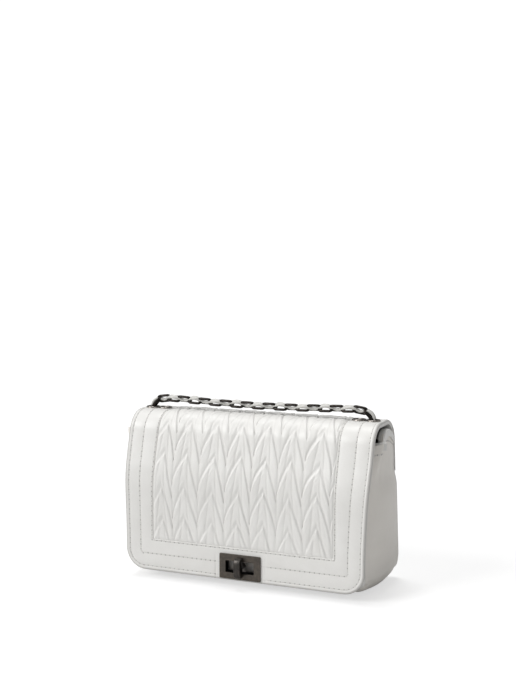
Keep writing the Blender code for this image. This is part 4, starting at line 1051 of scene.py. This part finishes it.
def bindings():
    """Folded leather edges round the mouth."""
    edge = OUTER.at_height(MOUTH_HEIGHT, BODY_STANDOFF)
    outward = OUTER.at(edge)[1]
    half = BODY_WIDTH / 2 - GUSSET_THICKNESS - GAP
    binding("front_binding_leather", "front_binding", PANEL_THICKNESS / 2 + GAP, [
        (on_outline(x, edge, -BODY_STANDOFF - PANEL_THICKNESS / 2), Vector((0.0, *outward)),
         Vector((0.0, outward.y, -outward.x)))
        for x in np.linspace(-half, half, 60)
    ])
    wrapped = GUSSET_THICKNESS + LINING_SLACK + LINING_THICKNESS
    lead, trail = LINING_STANDOFF + LINING_THICKNESS, LINING_SLACK + LINING_THICKNESS
    for side, name in ((-1, "left"), (1, "right")):
        places = []
        for share in np.linspace(0, 1, 60):
            x, y, z = gusset_point((BODY_WIDTH / 2, MOUTH_HEIGHT, 1.0, 0.0), share, wrapped / 2, lead, trail)
            places.append((Vector((side * x, y, z)), Vector((side, 0.0, 0.0)), Vector((0.0, 0.0, 1.0))))
        binding("gusset_binding_leather_" + name, name + "_gusset_binding", wrapped / 2 + 2 * GAP, places)


def seam_stitches():
    """Rows of stitches along the body's seams: round both panels and under the mouth's bindings."""
    half = BODY_WIDTH / 2
    mouth = OUTER.at_height(MOUTH_HEIGHT, BODY_STANDOFF) - SEAM_BELOW_MOUTH
    made = []
    for name, top, bottom, level in (
        ("back_panel_stitching", YOKE_SEAM + 6 * MM, OUTER.length - SEAM_INSET, -SEAM_GROOVE),
        ("front_panel_stitching", mouth, SEAM_INSET, -BODY_STANDOFF - 0.25 * MM),
    ):
        along = np.linspace(top, bottom, 60)
        heights = world([(0.0, d, level) for d in along])[:, 2]
        side = list(zip(half_edge(heights, half, CORNER_RADIUS) - SEAM_INSET, along))
        row = resample([(-x, d) for x, d in side] + side[::-1])
        made.append(stitch_piece(name, row, lambda x, d: np.full(x.shape, level), body_world))
    for side, name in ((-1, "left"), (1, "right")):
        z = MOUTH_HEIGHT - SEAM_BELOW_MOUTH
        made.append(stitch_piece(
            "gusset_stitching_" + name, resample([(0.04 * GUSSET_RUN, z), (0.96 * GUSSET_RUN, z)]),
            lambda x, d: np.full(x.shape, -0.1 * MM),
            lambda points: body_shape([
                gusset_point((side * half, z, side, 0.0), run / GUSSET_RUN, -height)
                for run, z, height in points
            ]),
        ))
    for piece in made:
        hand_in(piece, None, "body")


# Metal

EYELET_SIDES = 56
FLANGE = 0.8 * MM


def lathe(name, profile, matrix, finish, node):
    """A ring turned round the Z axis through a closed profile of radius and height, on the crown."""
    points = [
        matrix @ Vector((radius * cos, radius * sin, height))
        for cos, sin in circle(EYELET_SIDES) for radius, height in profile
    ]
    made = add_mesh(name, points, loop_faces(EYELET_SIDES, len(profile), closed=True), finish, 45)
    hand_in(made, node, "crown")


def eyelets():
    bore, rim = EYELET_BORE_RADIUS, GAP + EYELET_RIM_HEIGHT
    inner, outer = 1.3 * MM, 0.9 * MM
    wall = bore + EYELET_WALL
    end = FLAP_INNER - 2 * GAP - WASHER_THICKNESS - EYELET_BARREL_END
    profile = [(bore, end)]
    profile += [(bore + inner * (1 - cos), rim - inner * (1 - sin) * 0.9) for sin, cos in quarter(6)]
    profile += [(EYELET_RADIUS - outer * (1 - sin), rim - outer * (1 - cos) * 1.2) for sin, cos in quarter(5)]
    profile += [(EYELET_RADIUS, GAP / 2), (wall, GAP / 2), (wall, end)]
    under = FLAP_INNER - GAP
    washer = [
        (wall + GAP, under), (EYELET_RADIUS - 0.3 * MM, under), (EYELET_RADIUS, under - 0.3 * MM),
        (EYELET_RADIUS - 0.2 * MM, under - FLANGE), (wall + GAP, under - FLANGE),
    ]
    for name, x in EYELET_PLACES.items():
        place = Matrix.Translation(on_outline(x, EYELET_PLACE, 0.0))
        lathe("eyelet_ring_" + name, profile, place, METAL_RING, "eyelet_" + name)
        lathe("eyelet_back_ring_" + name, washer, place, METAL, "eyelet_washer_" + name)


def rounded_rectangle(half_width, half_height, radius, steps=5):
    wide, high = half_width - radius, half_height - radius
    first = [(wide + radius * cos, high + radius * sin) for sin, cos in quarter(steps)]
    top = first + [(-x, y) for x, y in reversed(first)]
    return top + [(-x, -y) for x, y in top]


def lock_point(across, up, depth):
    return (across, FLAP_FACE_Y + depth, LOCK_CENTRE_HEIGHT + up)


def lock_frame():
    """The frame plate as a ring of loops, from its window's collar round its face, its window walls near-black with
    painted shade.
    """
    front = -GAP - LOCK_PLATE_THICKNESS
    back = -0.1 * MM
    collar_end = -FLAP_INNER + GAP + WASHER_THICKNESS
    window, plate = (WINDOW_WIDTH / 2, WINDOW_HEIGHT / 2), (LOCK_WIDTH / 2, LOCK_HEIGHT / 2)
    loops = (
        (window, 0.0, 0.8, collar_end), (window, 0.0, 0.8, front + 0.35 * MM),
        (window, 0.12, 0.85, front + 0.1 * MM), (window, 0.35, 0.95, front), (window, 1.5, 1.0, front),
        (plate, -0.5, 0.5, front), (plate, -0.15, 0.7, front + 0.12 * MM), (plate, 0.0, 0.8, front + 0.4 * MM),
        (plate, 0.0, 0.8, back), (window, 1.0, 0.8, back), (window, 1.0, 0.8, collar_end),
    )
    points = []
    for (wide, high), grown, radius, depth in loops:
        shape = rounded_rectangle(wide + grown * MM, high + grown * MM, radius * MM)
        points += [lock_point(across, up, depth) for across, up in shape]
    # The collar's loops take the near-black painted shade.
    black = (0, 1, len(loops) - 1)
    walls = [int(loop in black) for loop in range(len(loops)) for _ in shape]
    faces = loop_faces(len(loops), len(shape), closed=True)
    made = add_mesh("lock_frame_plating", points, faces, [METAL_PLATE, WINDOW_WALL_SHADE], 30, indices=walls)
    hand_in(made, "lock_frame_plate", "flap_front")


def lock_knob():
    """The turning key, its stem through the front panel and the stem's riveted head."""
    back = -LOCK_PLATE_THICKNESS - 2 * GAP
    half = KNOB_LENGTH / 2
    bevel = 0.6 * MM
    outline = [(half - bevel, back), (half, back - bevel), (half, back - KNOB_END_HEIGHT)]
    for angle in np.arange(1, 26) * (math.pi / 26):
        rise = KNOB_END_HEIGHT + (KNOB_STAND_OUT - KNOB_END_HEIGHT) * math.sin(angle) ** 0.9
        outline.append((half * math.cos(angle), back - rise))
    outline += [(-half, back - KNOB_END_HEIGHT), (-half, back - bevel), (-half + bevel, back)]
    centre = back - KNOB_STAND_OUT * 0.45
    rounding = ((0.5, 0.86), (0.485, 0.93), (0.44, 0.975), (0.36, 1.0))
    loops = []
    for x, shrink in [(-x, shrink) for x, shrink in rounding] + list(reversed(rounding)):
        loops.append([
            lock_point(x * KNOB_THICKNESS, up * (1 - (1 - shrink) * 0.6),
                       centre + (depth - centre) * shrink if depth < centre else depth)
            for up, depth in outline
        ])
    parts = [skin(loops)]
    stem_end = BODY_STANDOFF + PANEL_THICKNESS + GAP + WASHER_THICKNESS + 0.6 * MM
    for radius, start, end in (
        (STEM_RADIUS, back - 0.9 * MM, stem_end),
        (RIVET_HEAD_RADIUS, stem_end - 0.3 * MM, stem_end + 0.7 * MM),
    ):
        parts.append(skin([
            [lock_point(radius * cos, radius * sin, depth) for cos, sin in circle(28)] for depth in (start, end)
        ]))
    made = add_mesh("lock_turning_key", *joined(parts), METAL_DARK, 32)
    hand_in(made, "lock_knob", "knob")


def lock():
    lock_frame()
    lock_knob()
    finishes = {"lock_frame_back": METAL, "lock_base_plate": METAL_BASE_PAINTED_LIGHT, "lock_backing_washer": METAL}
    for name, finish in finishes.items():
        node = frame["nodes"][name]
        node.data.materials.clear()
        node.data.materials.append(finish)


# Chain strap

CHAIN_ROLL = math.radians(40)
ROLL_SHARES = [0.0, 0.0, 0.45]
LACE_WIDTH = 4.8 * MM
LACE_THICKNESS = 2.6 * MM
LACE_STEPS = 10
LEVEL = Vector((0.0, 1.0, 0.0))


def strap_joints():
    """The points where one link hangs in the next, from the left eyelet over the top to the right one."""
    crown = OUTER.at(EYELET_PLACE)[0].y
    first = Vector((EYELET_OUTER_X, EYELET_Y, crown + FIRST_JOINT_ABOVE_CROWN))
    right = [first - Vector((0.0, 0.0, LINK_PITCH)), first]
    for angle in (math.radians(48), math.radians(8)):
        right.append(right[-1] + Vector((-math.cos(angle), 0.0, math.sin(angle))) * LINK_PITCH)
    end = right[-1]
    links = math.ceil(2 * end.x / LINK_PITCH_TAUT)
    links += 1 - links % 2
    run = []
    for link in range(1, links):
        share = link / links
        run.append(Vector((end.x * (2 * share - 1), EYELET_Y, end.z - RUN_SAG * math.sin(math.pi * share))))
    return [Vector((-joint.x, joint.y, joint.z)) for joint in right] + run + right[::-1]


def link_shape(bend_steps, sides):
    """One oval link, its length along X."""
    bend = (LINK_INNER_WIDTH + LINK_WIRE) / 2
    straight = (LINK_INNER_LENGTH - LINK_INNER_WIDTH) / 2
    points = []
    for side in (1, -1):
        for step in range(bend_steps + 1):
            angle = -math.pi / 2 + math.pi * step / bend_steps
            spoke = Vector((math.cos(angle), math.sin(angle), 0.0)) * side
            centre = Vector((side * straight, 0.0, 0.0)) + spoke * bend
            for cos, sin in circle(sides):
                points.append(centre + (spoke * cos + Vector((0.0, 0.0, sin))) * (WIRE_LOOK / 2))
    return points, loop_faces(2 * (bend_steps + 1), sides, closed=True)


def chain_frames(joints, rolled_run=False):
    """For each link, the way it runs, its level side and its upper side, carried along the chain."""
    frames = []
    side, before = LEVEL, None
    for index, (start, end) in enumerate(zip(joints, joints[1:])):
        along = (end - start).normalized()
        if before is not None:
            side = before.rotation_difference(along) @ side
        side = (side - along * side.dot(along)).normalized()
        before = along
        near = min(index, len(joints) - 2 - index)
        roll = CHAIN_ROLL * (ROLL_SHARES[near] if near < len(ROLL_SHARES) else 1.0) if rolled_run else 0.0
        turned = Matrix.Rotation(roll, 3, along) @ side
        frames.append((along, turned, along.cross(turned)))
    return frames


def place_link(start, end, axes, flat):
    """A link between two joints; a flat link lies level, and the others stand on edge."""
    along, side, up = axes
    across, normal = (side, up) if flat else (up, -side)
    return Matrix.Translation((start + end) / 2) @ Matrix((along, across, normal)).transposed().to_4x4()


def lace_strip(joints, frames, first, last, level):
    """The lace's skin from one joint to another: over level links and through standing ones."""
    centres, sides, widths = [], [], []
    for step in range((last - first) * LACE_STEPS + 1):
        place = first + step / LACE_STEPS
        link = min(int(place), last - 1)
        here = place - link - 0.5
        other = min(max(link + (1 if here > 0 else -1), 0), len(frames) - 1)
        side, up = (frames[link][axis].lerp(frames[other][axis], abs(here)).normalized() for axis in (1, 2))
        arch = 0.5 + 0.5 * math.cos(math.pi * (place - 0.5 - level))
        rise = (-1.3 + 4.5 * arch ** 0.8) * MM
        sway = 0.7 * MM * math.sin(math.pi / 2 * (place - level + 0.5))
        centres.append(joints[link].lerp(joints[link + 1], place - link) + side * sway + up * rise)
        sides.append(side)
        widths.append(0.66 + 0.34 * arch)
    shape = rounded_rectangle(LACE_WIDTH / 2, LACE_THICKNESS / 2, LACE_THICKNESS / 2 - 0.05 * MM, 3)
    loops = []
    for index, centre in enumerate(centres):
        along = (centres[min(index + 1, len(centres) - 1)] - centres[max(index - 1, 0)]).normalized()
        side = (sides[index] - along * sides[index].dot(along)).normalized()
        up = along.cross(side)
        loops.append([centre + side * across * widths[index] + up * rise for across, rise in shape])
    return skin(loops)


def chain():
    """The run of links on top of the bag, with a flat leather lace woven along it."""
    joints = strap_joints()
    points, faces = link_shape(10, 12)
    frames = chain_frames(joints, rolled_run=True)
    for number, axes in enumerate(frames):
        near = min(number, len(frames) - 1 - number)
        nested = Vector((0.0, 0.0, (-0.3 if number % 2 else 0.5) * MM if near > 2 else 0.0))
        place = place_link(joints[number] + nested, joints[number + 1] + nested, axes, number % 2 == 1)
        title = "%02d" % (number + 1)
        made = add_mesh("chain_ring_" + title, [place @ point for point in points], faces, METAL, 80)
        hand_in(made, "chain_link_" + title, "crown")
    strip = lace_strip(joints, frames, 1, len(joints) - 2, 1)
    made = add_mesh("leather_lace_strip", *strip, LACE_LEATHER_PAINTED_SHADE, 60)
    hand_in(made, "leather_lace", "crown")


# The strap's stowed length, on the CAD's own route: each place as shares of three ways, along the outline with
# 0 at the eyelet, 1 at the fold and 2 at the base, from the eyelet to beside the lining, and its depth
STRAP_ROUTE_SHARES = [
    (0.232, 0.444, 1.02), (0.541, 0.766, 1.1), (0.94, 0.935, 1.07), (1.08, 0.984, 1.0), (1.139, 1.0, 0.9),
    (1.217, 1.0, 0.88), (1.41, 1.02, 0.9), (1.604, 1.07, 0.94), (1.764, 1.17, 1.07), (1.858, 1.31, 1.43),
]
UNDER_PLACES = 2
FOLD_PLACES = 5
HANK_CENTRE_SHARE = 0.66
HANK_WIDTH = 0.027
HANK_HEIGHT = 0.0088
HANK_END_SPACE = 0.029
HANK_ENTRY = 0.0045
HANK_RUN_SPACE = 0.009
LINE_STEPS = 60
PITCH_TRIES = 60
STOWED_NAMES = ("under_right", "fold_right", "drop_right", "hank", "drop_left", "fold_left", "under_left")


def strap_place(way, across, depth):
    """A point of the hidden strap's middle line on the right side."""
    if way < 1:
        along = EYELET_PLACE + (BACK_FOLD - EYELET_PLACE) * way
    else:
        along = BACK_FOLD + (OUTER.length - BACK_FOLD) * (way - 1)
    beside = BODY_WIDTH / 2 - STRAP_SIDE_SPACE
    return on_outline(EYELET_OUTER_X + (beside - EYELET_OUTER_X) * across, along, -depth * STRAP_DEPTH)


def smooth_line(points):
    """Points on a smooth curve through the given ones."""
    padded = [points[0] * 2 - points[1], *points, points[-1] * 2 - points[-2]]
    found = []
    for a, b, c, d in zip(padded, padded[1:], padded[2:], padded[3:]):
        for t in np.arange(LINE_STEPS) / LINE_STEPS:
            bent = (a * 2 - b * 5 + c * 4 - d) * t ** 2 + (b * 3 - a - c * 3 + d) * t ** 3
            found.append((b * 2 + (c - a) * t + bent) / 2)
    return found + [points[-1]]


def walked(line, pitch):
    """The places on a dense line of joints one pitch apart, and what is left over at its end."""
    kept = [0]
    for index, point in enumerate(line):
        if (point - line[kept[-1]]).length >= pitch:
            kept.append(index)
    return kept, (line[-1] - line[kept[-1]]).length


def stowed_line():
    """The put-away strap's middle line, with three runs on the floor, and how many places lead down."""
    floor = GUSSET_THICKNESS + LINING_SLACK + LINING_THICKNESS + GAP
    middle = Vector((0.0, FLAP_FACE_Y + HANK_CENTRE_SHARE * BAG_DEPTH, floor + HANK_HEIGHT / 2))
    half = BODY_WIDTH / 2 - HANK_END_SPACE
    hanging = OUTER.at(EYELET_PLACE)[0].y + FIRST_JOINT_ABOVE_CROWN - LINK_PITCH
    down = [Vector((EYELET_OUTER_X, EYELET_Y, hanging))]
    down += [strap_place(*shares) for shares in STRAP_ROUTE_SHARES]
    down.append(middle + Vector((half + HANK_ENTRY, HANK_WIDTH / 8, 0.0)))
    up = [Vector((-place.x, place.y, place.z)) for place in reversed(down)]
    runs = [middle + Vector((across, HANK_RUN_SPACE * row, 0.0)) for across, row in (
        (half - 12 * MM, 0.9), (half / 2, 1.0), (-half / 2, 1.0), (10 * MM - half, 1.0),
        (3.5 * MM - half, 0.5), (10 * MM - half, 0.0), (-half / 2, 0.0), (half / 2, 0.0),
        (half - 10 * MM, 0.0), (half - 3.5 * MM, -0.5), (half - 10 * MM, -1.0), (half / 2, -1.0),
        (-half / 2, -1.0), (12 * MM - half, -1.0),
    )]
    return smooth_line(down + runs + up), len(down)


def stowed_chain():
    """The put-away length as real joined links with their lace, at the pitch that best fills its line."""
    line, down = stowed_line()
    tries = [walked(line, pitch) for pitch in np.linspace(LINK_PITCH * 0.93, LINK_PITCH_TAUT, PITCH_TRIES)]
    kept, _ = min((one for one in tries if len(one[0]) % 2 == 0), key=lambda one: one[1])
    joints = [line[index] for index in kept[:-1]] + [line[-1]]
    frames = chain_frames(joints)
    marks = [LINE_STEPS * places for places in (UNDER_PLACES, UNDER_PLACES + FOLD_PLACES, down - 1)]
    bounds = marks + [len(line) - 1 - mark for mark in reversed(marks)]
    shape, shape_faces = link_shape(7, 8)
    groups = {name: [] for name in STOWED_NAMES}
    for number, (start, end) in enumerate(zip(kept, kept[1:])):
        groups[STOWED_NAMES[sum((start + end) / 2 > bound for bound in bounds)]].append(number)
    for name, numbers in groups.items():
        parts = []
        for number in numbers:
            place = place_link(joints[number], joints[number + 1], frames[number], number % 2 == 0)
            parts.append(([place @ point for point in shape], shape_faces))
        links = add_mesh("strap_links_" + name, *joined(parts), METAL, 80)
        lace = lace_strip(joints, frames, numbers[0], numbers[-1] + 1, 0)
        strip = add_mesh("strap_lace_" + name, *lace, LEATHER_SPACE, 60)
        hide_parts("strap_" + name)
        for piece in (links, strip):
            if name.startswith("fold"):
                ends = [on_outline(0.0, BACK_FOLD + way * MM, -STRAP_DEPTH) for way in (30, -24)]
                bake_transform(piece)
            else:
                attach(piece, "crown" if name.startswith("under") else "body")


# Stage and camera

FLOOR_HALF = 6
FLOOR_LEVEL = -0.0002
SKY_LIGHT = 0.28
SKY_SEEN = 1.1
LIGHTS = (
    ("overhead", (-0.14, 0.10, 1.0), 24.0, 1.55),
    ("key", (-0.62, -0.70, 0.62), 30.0, 1.9),
)
SENSOR = 36.0
FOCAL_PIXELS = 1123.0
PICTURE_HEIGHT = 688.0
CAMERA_PLACE = (0.4290, -1.0106, 0.3320)
CAMERA_TARGET = (0.0185, -0.0436, 0.2374)


def aim(thing, way):
    """Turns a light or camera to look along a direction, and links it."""
    thing.rotation_euler = Vector(way).to_track_quat("-Z", "Y").to_euler()
    bpy.context.scene.collection.objects.link(thing)


def stage_and_camera():
    scene = bpy.context.scene
    corners = [(x * FLOOR_HALF, y * FLOOR_HALF, FLOOR_LEVEL) for x, y in ((-1, -1), (1, -1), (1, 1), (-1, 1))]
    add_mesh("studio_floor", corners, [(0, 1, 2, 3)], plain_floor("studio_floor"), solid=False)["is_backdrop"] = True
    scene.world = bpy.data.worlds.new("studio")
    scene.world.use_nodes = True
    tree = scene.world.node_tree
    background = tree.nodes["Background"]
    background.inputs["Color"].default_value = (1.0, 1.0, 1.0, 1.0)
    path = tree.nodes.new("ShaderNodeLightPath")
    strength = tree.nodes.new("ShaderNodeMapRange")
    strength.inputs[3].default_value = SKY_LIGHT
    strength.inputs[4].default_value = SKY_SEEN
    tree.links.new(path.outputs["Is Camera Ray"], strength.inputs[0])
    tree.links.new(strength.outputs[0], background.inputs["Strength"])
    for name, way, angle, power in LIGHTS:
        light = bpy.data.lights.new(name, "SUN")
        light.angle = math.radians(angle)
        light.energy = power
        aim(bpy.data.objects.new(name, light), -Vector(way))
    camera = bpy.data.objects.new("camera", bpy.data.cameras.new("camera"))
    camera.data.sensor_width = SENSOR
    camera.data.lens = SENSOR * FOCAL_PIXELS / PICTURE_HEIGHT
    camera.location = CAMERA_PLACE
    aim(camera, Vector(CAMERA_TARGET) - camera.location)
    scene.camera = camera
    scene.view_settings.view_transform = "Standard"


def flap():
    front = [flap_border()]
    crown = [crown_border(-1, "left"), crown_border(1, "right")]
    for pair in (pleats(), flap_linings(), flap_stitches()):
        front.append(pair[0])
        crown.append(pair[1])
    start = on_outline(0.0, OUTER.arc_place(1, 0.92), 0.0)
    end = on_outline(0.0, OUTER.arc_place(1, 0.0), 0.0)
    for piece in front:
        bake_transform(piece)
    start = on_outline(0.0, BACK_FOLD + 14 * MM, 0.0)
    end = on_outline(0.0, BACK_FOLD - 14 * MM, 0.0)
    for piece in crown:
        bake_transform(piece)


flap()
body_panels()
gusset()
lining()
bindings()
seam_stitches()
eyelets()
lock()
chain()
stowed_chain()
stage_and_camera()

visual_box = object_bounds()
({
    "cad": [list(corner) for corner in CAD_BOX],
    "visual": [list(corner) for corner in visual_box],
})
